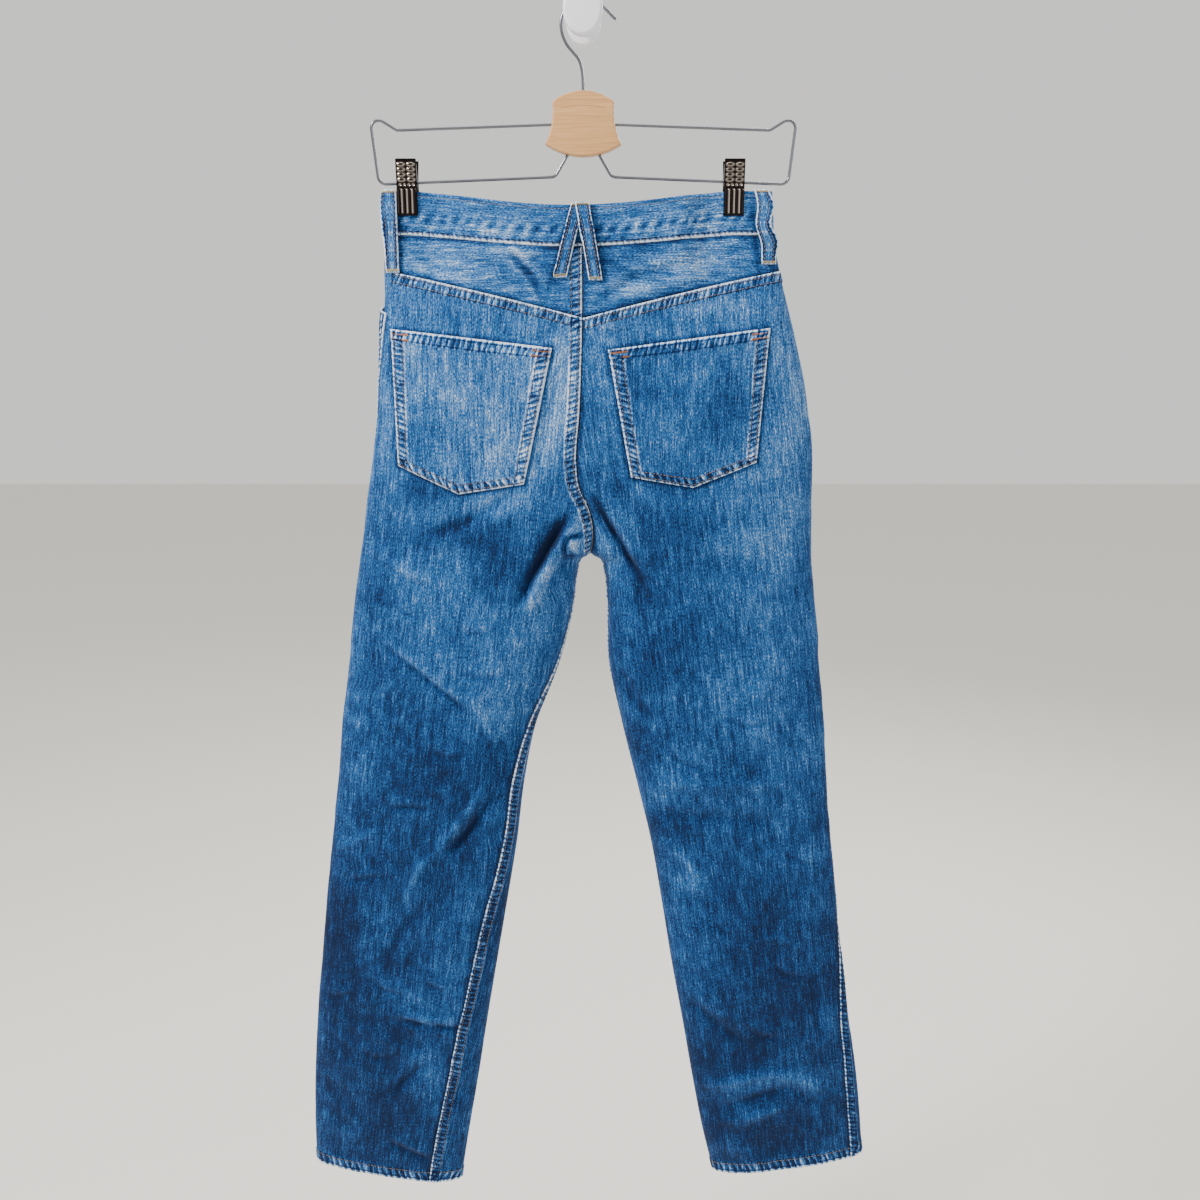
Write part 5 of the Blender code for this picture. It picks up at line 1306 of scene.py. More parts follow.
def loopFrame(name, t, across):
    # points along a loop: t runs down it and across is from -1 to 1
    side, face, topX, lowX, lowZ, bow, wave, over, _ = loops[name]
    top = float(bandTop(face, topX)) + 0.0012
    z = top + (lowZ - top) * t
    middleX = topX + (lowX - topX) * t + wave * np.sin(t * math.pi * loopShape["waves"]) * np.sin(math.pi * t)
    middle = shareAtX(side, face, middleX, z)
    share = middle[:, None] + loopShape["wide"] / 2 * across / widthAt(side, face, z)[:, None]
    low = float(bandLow(face, lowX))
    onBand = 1 - smoothStep((low - z + 0.002) / 0.010)
    base = loopShape["base"]
    start, span = loopShape["over"]
    lift = base + base * onBand + bow * np.sin(math.pi * t) ** 0.7
    lift = lift + wave * 0.7 * np.sin(t * math.pi * loopShape["ripples"]) + over * (1 - smoothStep((t - start) / span))
    return side, face, share, z[:, None] + 0 * share, np.maximum(lift, base)[:, None] + 0 * share


def beltLoop(name):
    tall = rowsFor(0.065) * 2
    t = np.linspace(0, 1, tall + 1)
    across = np.linspace(-1, 1, 15)
    side, face, share, z, lift = loopFrame(name, t, across)
    edge = 1 - np.abs(across)[None, :]
    crown = smoothStep(edge / 0.16) * 0.0007 + plateau(edge, 0.42, 0.3) * 0.0003 * (1 + 0.3 * ladder(z, 51, 0.006))
    ends = smoothStep(t / 0.03) * smoothStep((1 - t) / 0.03)
    outer = lifted(side, face, share, z, lift + loopShape["thick"] + crown * (0.4 + 0.6 * ends[:, None]))
    inner = lifted(side, face, share, z, lift)
    gap = edge * loopShape["wide"] / 2
    uv = np.stack([0 * z + gap + 0.9, z], axis=-1)
    seams = seamField(z.shape, s0=gap / 0.0060 + 0 * z)
    cutOff(seams, 0, 0.3)
    seams[..., 2] = np.minimum(t, 1 - t)[:, None] * 0.064 / 0.010 + 0 * z
    cutOff(seams, 2, 0.2)
    # rubbed pale edges, with painted shade in the two stitched lines sunk beside them
    worn = 0.24 * bell(edge, 0.14) - 0.46 * bell(edge - 0.40, 0.18) - 0.03
    tone = toneAt(side, face, outer[..., 0], z) + loops[name][8] + worn
    label = "clothLoop" + name.title().replace("_", "")
    obj = shell(label, outer, inner, uv, seams, tone, "denim_worn", [f"belt_loop_{name}"])


fly = {
    "wide": 0.037,
    "low": -0.352,
    "round": 0.030,
    "tip": 0.004,
    "rise": 0.0010,
    "pucker": 0.00012,
    "pitch": 0.009,
    "soft": 0.0045,
}


def flyWidth(z):
    cut = 1 - np.minimum(np.maximum(z - fly["low"], 0) / fly["round"], 1)
    return fly["tip"] + (fly["wide"] - fly["tip"]) * np.sqrt(1 - cut**2)


def flyLap():
    wide, tall = rowsFor(0.04), rowsFor(0.16)
    top = float(underBand("left", "front", np.array([0.05]))[0]) - body["gap"]
    t = np.linspace(0, 1, tall + 1)[:, None]
    z = top + (fly["low"] - top) * (1 - (1 - t) ** 1.4) + np.zeros((1, wide + 1))
    i = np.linspace(0, 1, wide + 1)[None, :]
    reach = 0.0004 + flyWidth(z) * i
    share = reach / widthAt("left", "front", z)
    fromEdge = (1 - i) * flyWidth(z)
    raised = smoothStep(np.minimum(fromEdge, (z - fly["low"]) + 0.0005) / fly["soft"])
    lift = 0.0001 + raised * (fly["rise"] + ladder(z, 61, fly["pitch"]) * fly["pucker"])
    outer = lifted("left", "front", share, z, lift)
    inner = lifted("left", "front", share, z, -0.0002)
    uv = np.stack([-reach + 0.4, z], axis=-1)
    seams = seamField(z.shape, s0=reach / 0.012)
    tone = toneAt("left", "front", outer[..., 0], z) + 0.02
    obj = shell("clothFly", outer, inner, uv, seams, tone, "denim", ["fly"])


hemFold = {"tall": 0.0118, "wide": 0.16, "outer": -0.0016, "inner": -0.0029, "roll": 0.0003}


def hem(side):
    # the turned-up end inside the leg
    shares = np.linspace(0, 1, rowsFor(hemFold["wide"]) + 1)
    rows = np.linspace(1, 0, 6)[:, None]
    outer, inner, along = [], [], []
    for number, (face, share) in enumerate((("back", shares), ("front", shares[::-1][1:]))):
        z = atHem(side, face, share)[None, :] + hemFold["tall"] * rows
        spread = np.broadcast_to(share, z.shape)
        roll = hemFold["roll"] * ladder(share * hemFold["wide"], 3)[None, :]
        outer.append(lifted(side, face, spread, z, hemFold["outer"] + roll))
        inner.append(lifted(side, face, spread, z, hemFold["inner"] + roll))
        along.append((number + np.abs(spread - share[0])) * hemFold["wide"])
    outer, inner, u = (np.concatenate(grids, axis=1) for grids in (outer, inner, along))
    uv = np.stack([u, outer[..., 2]], axis=-1)
    seams = seamField(u.shape, s3=rows + 0 * u)
    tone = np.full(u.shape, 0.34)
    obj = shell(f"clothHem{side.capitalize()}", outer, inner, uv, seams, tone, "denim", [f"hem_{side}"])


for eachSide in sides:
    for eachFace in faces:
        legPanel(eachSide, eachFace)
    yoke(eachSide)
    facing(eachSide)
    backPocket(eachSide)
    hem(eachSide)
waistband()
for eachLoop in loops:
    beltLoop(eachLoop)
flyLap()
print("cloth pieces made")

# sewing: each row is a line of points on the cloth, with a thread of its own colour
stitchRows, zigzags = ({kind: [] for kind in ("thread", "tack", "tan")} for _ in range(2))


# how far each pair of rows lies from its edge, and how far above the skin
rowSets = {
    "yoke": ((0.0027, 0.0086), 0.0010),
    "hem": ((0.0112,), 0.0008),
    "seam": ((0.0028, 0.0092), 0.0008),
    "seat": ((0.0028, 0.0092), 0.0011),
    "frontSeat": ((0.0016, 0.0080), 0.0005),
    "mouth": ((0.0018, 0.0082), 0.0007),
    "fly": ((0.0022, 0.0088), 0.0013),
    "clear": 0.004,
}


def rowOn(side, face, share, z, lift):
    stitchRows["thread"].append(lifted(side, face, share, z, lift))


def rowsBeside(kind, side, face, start, end, count):
    # rows that follow the inner seam
    reaches, lift = rowSets[kind]
    z = np.linspace(start, end, count)
    for reach in reaches:
        rowOn(side, face, reach / widthAt(side, face, z), z, lift)


def sewMouth(side):
    offs, lift = rowSets["mouth"]
    drop = scoop["deep"] * np.linspace(0.02, 1, 60)
    slope = np.clip(drop / scoop["deep"], 0, 1) ** 3
    for off in offs:
        share = np.full(60, 0.8)
        for _ in range(6):
            z = underBand(side, "front", share) - drop - off * slope
            share = scoopShare(side, drop, z) - off * (1 - slope * 0.8) / widthAt(side, "front", z)
        rowOn(side, "front", np.minimum(share, 0.995), z, lift)


def sewPanels():
    inside = 0.012 + np.linspace(0, 1, 140) * 0.976
    top, low = body["crotch"] + rowSets["clear"], body["crotch"] - rowSets["clear"]
    for side in sides:
        for drop in rowSets["yoke"][0]:
            z = settle(side, "back", inside, lambda x: yokeLow(x) - drop, -0.23)
            rowOn(side, "back", inside, z, rowSets["yoke"][1])
        for face in faces:
            rowOn(side, face, inside, atHem(side, face, inside, *rowSets["hem"][0]), rowSets["hem"][1])
        rowsBeside("seam", side, "front", low, body["hem"] + rowSets["clear"], 330)
        sewMouth(side)
    rowsBeside("seat", "left", "back", -0.192, top, 150)
    rowsBeside("frontSeat", "left", "front", -0.356, top, 60)
    insets, lift = rowSets["fly"]
    for inset in insets:
        z = np.linspace(-0.196, fly["low"] + inset * 0.7, 90)
        cut = 1 - np.clip((z - fly["low"] - inset * 0.7) / fly["round"], 0, 1)
        reach = np.maximum(0.002, (fly["wide"] - inset) * np.sqrt(1 - cut**2))
        rowOn("left", "front", reach / widthAt("left", "front", z), z, lift)


def sewBand():
    _, girth = bandPlaces()
    distance = np.linspace(0.003, girth - 0.003, 420)
    for down in (0.10, 0.935):
        points = bandGrid(distance, np.array([down]), np.full((1, 420), band["out"]))
        stitchRows["thread"].append(points[0])


def zigzag(start, end, count, reach):
    # places across a bar tack, and how far each goes up or down
    return np.linspace(start, end, count), np.where(np.arange(count) % 2 == 0, -reach, reach)


def onPocket(side, across, down, above):
    spot = pocketPlace(side, across, down)
    lift = pocket["base"] + pocketLift(side, across, down) + above
    return faceLifted(side, spot[..., 0], spot[..., 1], lift)


def sewPockets():
    steps = np.linspace(0, 1, 70)
    for side in sides:
        lines = []
        for a, b, low in ((0.023, 0.977, 0.981), (0.075, 0.925, 0.940)):
            down = 0.075 + (low - 0.075) * steps
            lines += [(np.full(70, a), down), (np.full(70, b), down), (a + (b - a) * steps, np.full(70, low))]
        lines += [(0.12 + 0.76 * steps, np.full(70, down)) for down in (0.023, 0.074)]
        stitchRows["thread"] += [onPocket(side, across, down, 0.0019) for across, down in lines]
        for start, end in ((0.012, 0.115), (0.885, 0.988)):
            across, spread = zigzag(start, end, 44, 0.006)
            zigzags["tack"] += [onPocket(side, across, down + spread, 0.0022) for down in (0.030, 0.068)]


def onLoop(name, t, across, above):
    side, face, share, z, lift = loopFrame(name, t, np.array([across]))
    return lifted(side, face, share[:, 0], z[:, 0], lift[:, 0] + above)


def sewLoops():
    for name in loops:
        t = np.linspace(0.02, 0.98, 60)
        stitchRows["thread"] += [onLoop(name, t, across, 0.0019) for across in (-0.56, 0.56)]
        across, spread = zigzag(-0.86, 0.86, 26, 0.012)
        for level in (0.972, 0.03):
            line = [onLoop(name, np.array([level + s]), a, 0.0021)[0] for a, s in zip(across, spread)]
            zigzags["tan"].append(np.array(line))


sewPanels()
sewBand()
sewPockets()
sewLoops()


def pathMesh(name, lines):
    mesh = bpy.data.meshes.new(name)
    points, edges = [], []
    for line in lines:
        start = len(points)
        points += [tuple(p) for p in line]
        edges += [(start + k, start + k + 1) for k in range(len(line) - 1)]
    mesh.from_pydata(points, edges, [])
    return mesh


def rowTree(name, inputs):
    # a tree that takes paths and turns them into curves
    group = bpy.data.node_groups.new(name, "GeometryNodeTree")
    for way in ("INPUT", "OUTPUT"):
        group.interface.new_socket("Geometry", in_out=way, socket_type="NodeSocketGeometry")
    for label in inputs:
        group.interface.new_socket(label, in_out="INPUT", socket_type="NodeSocketFloat")
    group.interface.new_socket("Material", in_out="INPUT", socket_type="NodeSocketMaterial")
    t = Tree(group)
    given = t.node("NodeGroupInput").outputs
    return group, t, given, t.made("GeometryNodeMeshToCurve", given["Geometry"])


def closeTree(t, given, shape):
    # realized, smooth and with its material
    real = t.made("GeometryNodeRealizeInstances", shape)
    soft = t.made("GeometryNodeSetShadeSmooth", real)
    paint = t.node("GeometryNodeSetMaterial")
    t.feed(paint.inputs["Geometry"], soft)
    t.feed(paint.inputs["Material"], given["Material"])
    t.feed(t.node("NodeGroupOutput").inputs["Geometry"], paint.outputs["Geometry"])


def stitchGroup():
    # capsules laid end to end along each row
    group, t, given, curve = rowTree("sewnRow", ("Pitch", "Length", "Thickness"))
    even = t.node("GeometryNodeResampleCurve")
    even.mode = "LENGTH"
    t.feed(even.inputs["Curve"], curve)
    t.feed(even.inputs["Length"], given["Pitch"])
    turn = t.node("FunctionNodeAlignRotationToVector")
    turn.axis = "Z"
    t.feed(turn.inputs["Vector"], t.made("GeometryNodeInputTangent"))
    ball = t.node("GeometryNodeMeshUVSphere")
    for key, value in (("Segments", 6), ("Rings", 4), ("Radius", 0.5)):
        ball.inputs[key].default_value = value
    size = t.made("ShaderNodeCombineXYZ", given["Thickness"], given["Thickness"], given["Length"])
    place = t.node("GeometryNodeInstanceOnPoints")
    links = {"Points": even.outputs[0], "Instance": ball.outputs[0], "Rotation": turn.outputs[0], "Scale": size}
    for key, value in links.items():
        t.feed(place.inputs[key], value)
    closeTree(t, given, place.outputs[0])
    return group


def threadGroup():
    # one thread that follows a path
    group, t, given, curve = rowTree("zigzagThread", ("Thickness",))
    ring = t.node("GeometryNodeCurvePrimitiveCircle")
    ring.inputs["Resolution"].default_value = 6
    t.feed(ring.inputs["Radius"], t.times(given["Thickness"], 0.5))
    tube = t.node("GeometryNodeCurveToMesh")
    for key, value in (("Fill Caps", True), ("Curve", curve), ("Profile Curve", ring.outputs[0])):
        t.feed(tube.inputs[key], value)
    closeTree(t, given, tube.outputs[0])
    return group


def plainMesh(source, name):
    # what modifiers or a bevel make of an object, as a plain mesh
    bpy.context.view_layer.update()
    graph = bpy.context.evaluated_depsgraph_get()
    mesh = bpy.data.meshes.new_from_object(source.evaluated_get(graph))
    bpy.data.objects.remove(source)
    mesh.name = name
    return mesh


def sewRows(name, lines, group, settings):
    source = put(bpy.data.objects.new(name + "Paths", pathMesh(name + "Paths", lines)))
    modifier = source.modifiers.new("sewing", "NODES")
    modifier.node_group = group
    for item in group.interface.items_tree:
        if item.in_out == "INPUT" and item.name in settings:
            modifier[item.identifier] = settings[item.name]
    show(bpy.data.objects.new(name, plainMesh(source, name)), "denim")


stitch = {"Pitch": 0.0032, "Length": 0.0025, "Thickness": 0.00050}
tackThread = {"Thickness": 0.0009}
sewnRow, zigzagThread = stitchGroup(), threadGroup()
for made, start, group, sizes in (
    (stitchRows, "sewing", sewnRow, stitch),
    (zigzags, "bartack", zigzagThread, tackThread),
):
    for kind, lines in made.items():
        if lines:
            sewRows(start + kind.capitalize(), lines, group, {**sizes, "Material": materials[kind]})
print("sewing laid")


def finishedMesh(name, bm, material, sharp):
    # smooth but for edges past an angle in degrees
    mesh = bpy.data.meshes.new(name)
    bm.to_mesh(mesh)
    bm.free()
    mesh.shade_smooth()
    mesh.set_sharp_from_angle(angle=math.radians(sharp))
    mesh.materials.append(material)
    return mesh


def loft(name, rings, material, slot, node, sharp=35):
    bm = bmesh.new()
    made = [[bm.verts.new(p) for p in ring] for ring in rings]
    count = len(made[0])
    for a, b in zip(made, made[1:]):
        for i in range(count):
            k = (i + 1) % count
            bm.faces.new((a[i], a[k], b[k], b[i]))
    bm.faces.new(made[0])
    bm.faces.new(made[-1])
    bmesh.ops.recalc_face_normals(bm, faces=bm.faces)
    if bm.calc_volume(signed=True) < 0:
        bmesh.ops.reverse_faces(bm, faces=bm.faces)
    show(bpy.data.objects.new(name, finishedMesh(name, bm, material, sharp)), slot, node)


button = {
    "x": -0.016,
    "down": 0.01825,
    "radius": 0.0085,
    # share of the radius, and how far up
    "profile": (
        (0.80, 0.0000), (0.96, 0.0003), (1.00, 0.0011), (0.98, 0.0019), (0.92, 0.0024), (0.82, 0.0026),
        (0.72, 0.0024), (0.66, 0.0019), (0.60, 0.0017), (0.30, 0.0019), (0.10, 0.0020),
    ),
}


def waistButton():
    x, radius = button["x"], button["radius"]
    z = float(bandTop("front", x)) - button["down"]
    share = np.array([abs(x) / float(widthAt("left", "front", z))])
    height = np.array([z])
    seat = Vector(lifted("left", "front", share, height, band["out"] + 0.0003)[0])
    turn = Vector(skinNormal("left", "front", share, height)[0]).to_track_quat("Z", "Y")
    turns = [2 * math.pi * k / 40 for k in range(40)]
    rings = []
    for part, up in button["profile"]:
        reach = radius * part
        rings.append([seat + turn @ Vector((reach * math.cos(a), reach * math.sin(a), up)) for a in turns])
    loft("waistButtonTop", rings, materials["button"], "button_metal", "waist_button", 50)


waistButton()
print("button made")


wireLook = tonedMaterial("hangerWire", srgb(120, 122, 128), 0.24, 1.0)
whiteLook = tonedMaterial("hookWhite", srgb(238, 240, 248), 0.32)


def bronzeMaterial():
    # dark bronze, with painted highlights on its ridges
    made, t, shader = newMaterial("clipBronze", Roughness=0.24, Metallic=1.0, SpecularIORLevel=0.5)
    worn = t.node("ShaderNodeAttribute", attribute_name="worn").outputs["Fac"]
    colour = t.blend(worn, (*srgb(34, 29, 28), 1.0), (*srgb(168, 156, 146), 1.0))
    t.feed(shader.inputs["Base Color"], colour)
    return made


def woodMaterial():
    made, t, shader = newMaterial("blockWood", Roughness=0.42, CoatWeight=0.15, CoatRoughness=0.3)
    where = t.node("ShaderNodeTexCoord").outputs["Object"]
    bands = t.noise(where, (0.045, 0.02, 0.0016), 3.0, 0.6, 0.6)
    fine = t.noise(where, (0.018, 0.01, 0.0004), 2.0, 0.6)
    mixed = t.add(t.times(bands, 0.7), t.times(fine, 0.3))
    colour = t.ramp(mixed, ((0.30, srgb(182, 128, 72)), (0.72, srgb(226, 176, 118))))
    x, _, z = t.parts(where)
    # the fine groove under the block's crown, painted darker as painted shade and given a dip in the bump
    bend = t.times(t.times(x, x), 6.0)
    level = t.apart(t.add(z, bend), -0.0735)
    groove = t.times(t.fit(level, 0.0005, 0.0001), t.fit(t.apart(x, 0.0), 0.0195, 0.0180))
    colour = t.blend(t.times(groove, 0.55), colour, (*srgb(128, 84, 44), 1.0))
    t.feed(shader.inputs["Base Color"], colour)
    t.feed(shader.inputs["Normal"], t.bump(t.minus(mixed, groove), 0.25, 0.0004))
    return made


def filleted(corners, radii, steps=10):
    path = [Vector(corners[0])]
    for before, corner, after, radius in zip(corners, corners[1:], corners[2:], radii):
        corner = Vector(corner)
        back = (Vector(before) - corner).normalized()
        on = (Vector(after) - corner).normalized()
        half = back.angle(on) / 2
        centre = corner + (back + on).normalized() * (radius / math.sin(half))
        start = corner + back * (radius / math.tan(half)) - centre
        end = corner + on * (radius / math.tan(half)) - centre
        path += [centre + start.slerp(end, k / steps) * radius for k in range(steps + 1)]
    path.append(Vector(corners[-1]))
    return path


def smoothPath(points, perSpan=6):
    found = []
    ends = [points[0], *points, points[-1]]
    for a, b, c, d in zip(ends, ends[1:], ends[2:], ends[3:]):
        for k in range(perSpan):
            t = k / perSpan
            spot = Vector((0, 0, 0))
            spot += (-0.5 * t + t * t - 0.5 * t**3) * Vector(a)
            spot += (1 - 2.5 * t * t + 1.5 * t**3) * Vector(b)
            spot += (0.5 * t + 2 * t * t - 1.5 * t**3) * Vector(c)
            spot += (-0.5 * t * t + 0.5 * t**3) * Vector(d)
            found.append(spot)
    found.append(Vector(points[-1]))
    return found


def wire(name, path, radius, node):
    data = bpy.data.curves.new(name, "CURVE")
    data.dimensions = "3D"
    data.bevel_depth = radius
    data.bevel_resolution = 4
    data.use_fill_caps = True
    spline = data.splines.new("POLY")
    spline.points.add(len(path) - 1)
    for point, place in zip(spline.points, path):
        point.co = (*place, 1.0)
    mesh = plainMesh(put(bpy.data.objects.new(name + "Guide", data)), name)
    mesh.materials.clear()
    mesh.materials.append(wireLook)
    mesh.shade_smooth()
    mesh.set_sharp_from_angle(angle=math.radians(50))
    show(bpy.data.objects.new(name, mesh), "wire", node)


hangerWire = {
    "radius": 0.0013,
    "arm": (
        (0.0180, -0.0876), (0.1600, -0.0925), (0.1728, -0.0848), (0.1825, -0.0845),
        (0.1770, -0.1367), (0.0245, -0.1305), (0.0085, -0.1040),
    ),
    "radii": (0.004, 0.005, 0.006, 0.007, 0.006),
    "hook": (
        (0.0000, -0.0720), (0.0000, -0.0590), (-0.0008, -0.0460), (-0.0034, -0.0366), (-0.0086, -0.0303),
        (-0.0138, -0.0242), (-0.0174, -0.0165), (-0.0186, -0.0085), (-0.0170, -0.0003), (-0.0125, 0.0068),
        (-0.0063, 0.0110), (0.0000, 0.0121), (0.0066, 0.0113), (0.0130, 0.0084), (0.0186, 0.0040),
        (0.0235, -0.0008), (0.0277, -0.0046),
    ),
}


def hangerWires():
    y = body["hangY"]
    for side in sides:
        corners = [(away[side] * x, y, z) for x, z in hangerWire["arm"]]
        path = filleted(corners, hangerWire["radii"])
        wire(f"hangerWire{side.capitalize()}", path, hangerWire["radius"], f"hanger_wire_{side}")
    path = smoothPath([(x, y, z) for x, z in hangerWire["hook"]])
    wire("hangerHookWire", path, hangerWire["radius"], "hanger_hook")


def arcBetween(start, end, sag, steps):
    a, b = Vector(start), Vector(end)
    chord = b - a
    left = Vector((-chord.y, chord.x)).normalized()
    radius = (chord.length_squared / 4 + sag * sag) / (2 * abs(sag))
    centre = (a + b) / 2 + left * (sag - math.copysign(radius, sag))
    first, last = a - centre, b - centre
    return [centre + first.slerp(last, k / steps) * radius for k in range(steps)]


block = {
    "corners": ((-0.0264, -0.0702), (0.0264, -0.0702), (0.0326, -0.1043), (-0.0326, -0.1043)),
    "sags": (0.0090, -0.0026, 0.0098, -0.0026),
    "steps": (18, 10, 18, 10),
    "half": 0.0065,
    "round": 0.0016,
}


def hangerBlock():
    corners = block["corners"]
    outline = []
    for k, (sag, steps) in enumerate(zip(block["sags"], block["steps"])):
        outline += arcBetween(corners[k], corners[(k + 1) % 4], sag, steps)
    middle = sum(outline, Vector((0, 0))) / len(outline)
    half, soft = block["half"], block["round"]
    turns = [math.pi / 12 * k for k in range(7)]
    rim = [(-half + soft - soft * math.cos(a), soft * (1 - math.sin(a))) for a in turns]
    rings = []
    for y, shrink in rim + [(-y, shrink) for y, shrink in rim[::-1]]:
        inset = [p + (middle - p).normalized() * shrink for p in outline]
        rings.append([(p.x, body["hangY"] + y, p.y) for p in inset])
    loft("hangerBlockWood", rings, woodMaterial(), "wood", "hanger_block", 40)


def barHeight(x):
    # the lower wire's height, between its two bends
    (x0, z0), (x1, z1) = hangerWire["arm"][4:6]
    return z0 + (z1 - z0) * (abs(x) - x0) / (x1 - x0)


def jawRelief(x, z, u):
    # ribs on the grip and rows of small dimples and knobs above it
    ribs = (0.5 + 0.5 * np.cos(u * math.pi * 4.0)) ** 1.2 * clip["rib"]
    ribs = ribs * smoothStep((z - clip["low"] - 0.0010) / 0.0012) * smoothStep((-0.1400 - z) / 0.0015)
    ribs = ribs * (np.abs(u) < 0.9)
    dots = np.zeros(ribs.shape)
    for k in range(4):
        apart = ((x - (-0.0057 + 0.0038 * k)) / 0.0011) ** 2 + ((z + 0.1375) / 0.0011) ** 2
        dots -= clip["dot"] * np.exp(-(apart**2))
        for middle in (-0.0042, 0.0042):
            apart = ((x - middle) / 0.0031) ** 2 + ((z - (-0.1335 + 0.0041 * k)) / 0.0015) ** 2
            dots += clip["rim"] * np.exp(-(apart**2))
    return ribs, dots


def clipJaw(side, face):
    x0 = clipX[side]
    bar = barHeight(x0)
    low, top, grip = clip["low"], clip["top"], clip["grip"] + clip["clear"]
    # height, and how far the sheet stands from the middle
    stations = (
        (low, grip), (low + 0.0120, grip + 0.0002), (-0.1420, grip + 0.0008), (bar - 0.0010, 0.0053),
        (bar + 0.0040, 0.0062), (top - 0.0060, 0.0076), (top, 0.0083),
    )
    z = np.linspace(low, top, 110)[:, None]
    base = smoothThrough(*zip(*stations), z)
    u = np.linspace(-1, 1, 57)[None, :]
    x = u * clip["half"]
    ribs, dots = jawRelief(x, z, u)
    corner = 0.0011 * (1 - smoothStep((1 - np.abs(u)) / 0.13))
    lift = base + clip["sheet"] + (ribs + dots) - corner
    sign = outward[face]
    spread = np.zeros(lift.shape)
    outer = np.stack([x0 + x + spread, body["hangY"] + sign * lift, z + spread], axis=-1)
    inner = np.stack([x0 + x * 0.99 + spread, body["hangY"] + sign * (base + spread), z + spread], axis=-1)
    rim = np.clip(np.abs(dots) / clip["rim"], 0, 1)
    # painted highlights on the rib crests and round the dimple rims, over the clip's own dark bronze
    worn = np.clip((ribs / clip["rib"]) ** 3 + 2.6 * rim * (1 - rim), 0, 1)
    rows, cols = lift.shape
    bm = bmesh.new()
    verts = [bm.verts.new(p) for p in np.concatenate([outer.reshape(-1, 3), inner.reshape(-1, 3)])]
    at = lambda r, c, layer: verts[layer * rows * cols + r * cols + c]
    for r in range(rows - 1):
        for c in range(cols - 1):
            bm.faces.new((at(r, c, 0), at(r, c + 1, 0), at(r + 1, c + 1, 0), at(r + 1, c, 0)))
            bm.faces.new((at(r + 1, c, 1), at(r + 1, c + 1, 1), at(r, c + 1, 1), at(r, c, 1)))
    edge = [(0, c) for c in range(cols)] + [(r, cols - 1) for r in range(1, rows)]
    edge += [(rows - 1, c) for c in range(cols - 2, -1, -1)] + [(r, 0) for r in range(rows - 2, 0, -1)]
    for a, b in zip(edge, edge[1:] + edge[:1]):
        bm.faces.new((at(*a, 0), at(*b, 0), at(*b, 1), at(*a, 1)))
    # flanges that turn in beside the bar
    near = [(bar - 0.009, 0.0058), (bar, 0.0019), (bar + 0.005, 0.0019), (top - 0.004, 0.0060)]
    far = [(h, float(np.interp(h, z[:, 0], base[:, 0]))) for h, _ in near[::-1]]
    for end in (-1, 1):
        xs = sorted((x0 + end * clip["half"], x0 + end * (clip["half"] - 0.0010)))
        left, right = ([bm.verts.new((end, body["hangY"] + sign * d, h)) for h, d in near + far] for end in xs)
        bm.faces.new(left)
        bm.faces.new(right)
        for k in range(len(left)):
            n = (k + 1) % len(left)
            bm.faces.new((left[k], left[n], right[n], right[k]))
    bmesh.ops.recalc_face_normals(bm, faces=bm.faces)
    name = f"clip{side.capitalize()}{face.capitalize()}Jaw"
    mesh = finishedMesh(name, bm, bronzeLook, 38)
    # the outer sheet's points were made first, so they lead
    shine = np.zeros(len(mesh.vertices))
    shine[: rows * cols] = worn.ravel()
    mesh.attributes.new("worn", "FLOAT", "POINT").data.foreach_set("value", shine)
    show(bpy.data.objects.new(name, mesh), "clip_metal", f"clip_{side}_{other[face]}_jaw")


def clipSpring(side):
    # a close coil round the bar
    x0, y = clipX[side], body["hangY"]
    bar = barHeight(x0)
    turns, steps = 8, 14
    path = []
    for k in range(turns * steps + 1):
        a = 2 * math.pi * k / steps
        along = (k / (turns * steps) - 0.5) * clip["coilLong"]
        path.append(Vector((x0 + along, y + clip["coil"] * math.cos(a), bar + clip["coil"] * math.sin(a))))
    wire(f"clip{side.capitalize()}Coil", path, clip["coilWire"], f"clip_{side}_spring")


def oval(half, y, grow, steps=64):
    turns = [2 * math.pi * k / steps for k in range(steps)]
    return [((half[0] + grow) * math.cos(a), y, (half[1] + grow) * math.sin(a)) for a in turns]


hook = {
    "base": (0.0150, 0.0200),
    "baseDeep": 0.0060,
    "baseRound": 0.002,
    "post": (0.0105, 0.0105),
    "postEnds": (-0.0083, -0.0367),
    "knob": (0.0165, 0.0215),
    "knobBack": (-0.0370, 0.0055, 0.0040),
    "knobFront": (-0.0488, 0.0030, 0.0030),
}


def wallHook():
    deep, soft = hook["baseDeep"], hook["baseRound"]
    base = [oval(hook["base"], 0.0, 0), oval(hook["base"], -deep, 0)]
    for a in (0.4, 0.8, 1.2, 1.57):
        base.append(oval(hook["base"], -deep - soft * math.sin(a), -soft * (1 - math.cos(a))))
    loft("hookBase", base, whiteLook, "white_plastic", "wall_hook_base")
    post = [oval(hook["post"], y, 0) for y in hook["postEnds"]]
    loft("hookPost", post, whiteLook, "white_plastic", "wall_hook_post")
    turns = [math.pi / 2 * k / 8 for k in range(9)]
    y, deep, soft = hook["knobBack"]
    knob = [oval(hook["knob"], y - deep * (1 - math.cos(a)), -soft * (1 - math.sin(a))) for a in turns]
    y, deep, soft = hook["knobFront"]
    knob += [oval(hook["knob"], y - deep * math.sin(a), -soft * (1 - math.cos(a))) for a in turns]
    loft("hookKnob", knob, whiteLook, "white_plastic", "wall_hook_knob")


bronzeLook = bronzeMaterial()
hangerWires()
hangerBlock()
for eachSide in sides:
    for eachFace in faces:
        clipJaw(eachSide, eachFace)
    clipSpring(eachSide)
wallHook()
print("hanger and wall hook made")


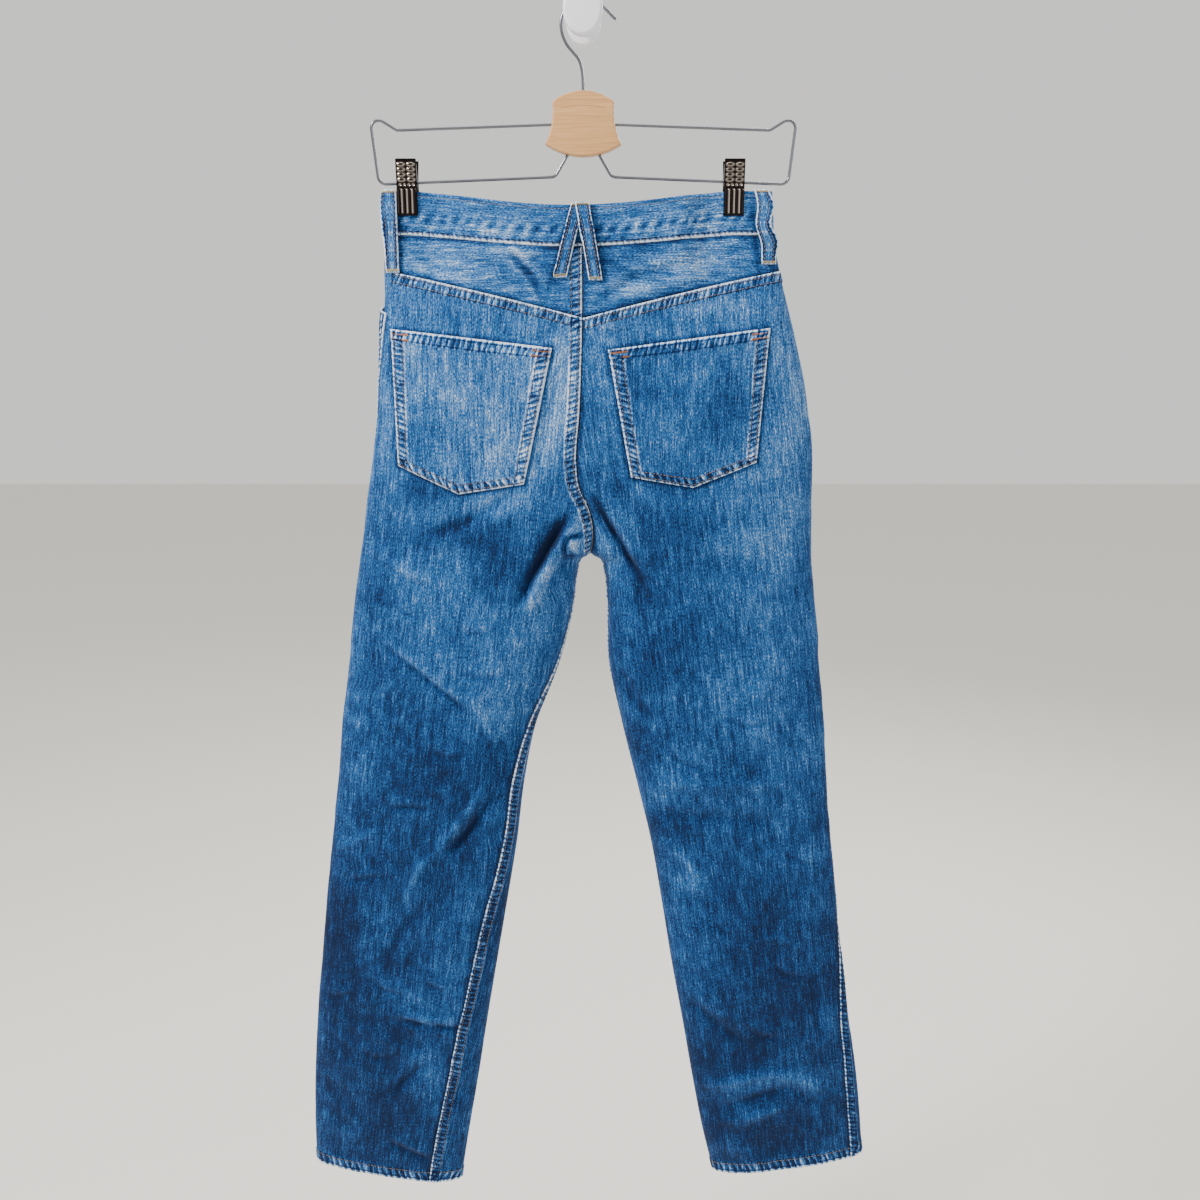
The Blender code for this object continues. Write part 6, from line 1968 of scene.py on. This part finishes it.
# name, place, target, size, power, colour
lights = (
    ("key", (-1.55, -1.05, 1.05), (0, 0, -0.50), 0.55, 70, (1.0, 0.98, 0.95)),
    ("fill", (1.5, -1.6, 0.1), (0, 0, -0.6), 1.6, 9, (0.94, 0.97, 1.0)),
    ("behind", (0.9, 1.7, 0.8), (0, 0, -0.5), 1.1, 46, (1.0, 0.98, 0.95)),
    ("above", (0.0, 0.0, 1.4), (0, 0, 0), 1.2, 13, (1.0, 1.0, 1.0)),
)
room = {"floor": -1.50, "reach": 9, "tint": (0.95, 0.94, 0.92, 1), "strength": 0.96}


def stage():
    mesh = bpy.data.meshes.new("floor")
    reach = room["reach"]
    corners = ((-reach, -reach), (reach, -reach), (reach, reach), (-reach, reach))
    mesh.from_pydata([(x, y, room["floor"]) for x, y in corners], [], [(0, 1, 2, 3)])
    mesh.materials.append(tonedMaterial("floorPale", srgb(236, 232, 224), 0.9, 0.0, 0.1))
    put(bpy.data.objects.new("floor", mesh))
    world = bpy.data.worlds.new("paleRoom")
    bpy.context.scene.world = world
    world.use_nodes = True
    sky = world.node_tree.nodes["Background"].inputs
    sky["Color"].default_value = room["tint"]
    sky["Strength"].default_value = room["strength"]
    for name, place, target, size, power, colour in lights:
        data = bpy.data.lights.new(name, "AREA")
        data.shape = "DISK"
        data.size = size
        data.energy = power
        data.color = colour
        lamp = put(bpy.data.objects.new(name, data))
        lamp.location = place
        lamp.rotation_euler = (Vector(target) - Vector(place)).to_track_quat("-Z", "Y").to_euler()


stage()
print("room lit")

# the photo's own view: it looks down by the tilt, in degrees
view = {"lens": 36, "sensor": 36, "place": (0.0143, -1.12, -0.263), "tilt": 12.5}
cameraData = bpy.data.cameras.new("photoCamera")
cameraData.lens = view["lens"]
cameraData.sensor_width = view["sensor"]
cameraData.clip_start = 0.01
camera = put(bpy.data.objects.new("photoCamera", cameraData))
camera.location = view["place"]
camera.rotation_euler = (math.radians(90 - view["tilt"]), 0, 0)
bpy.context.scene.camera = camera
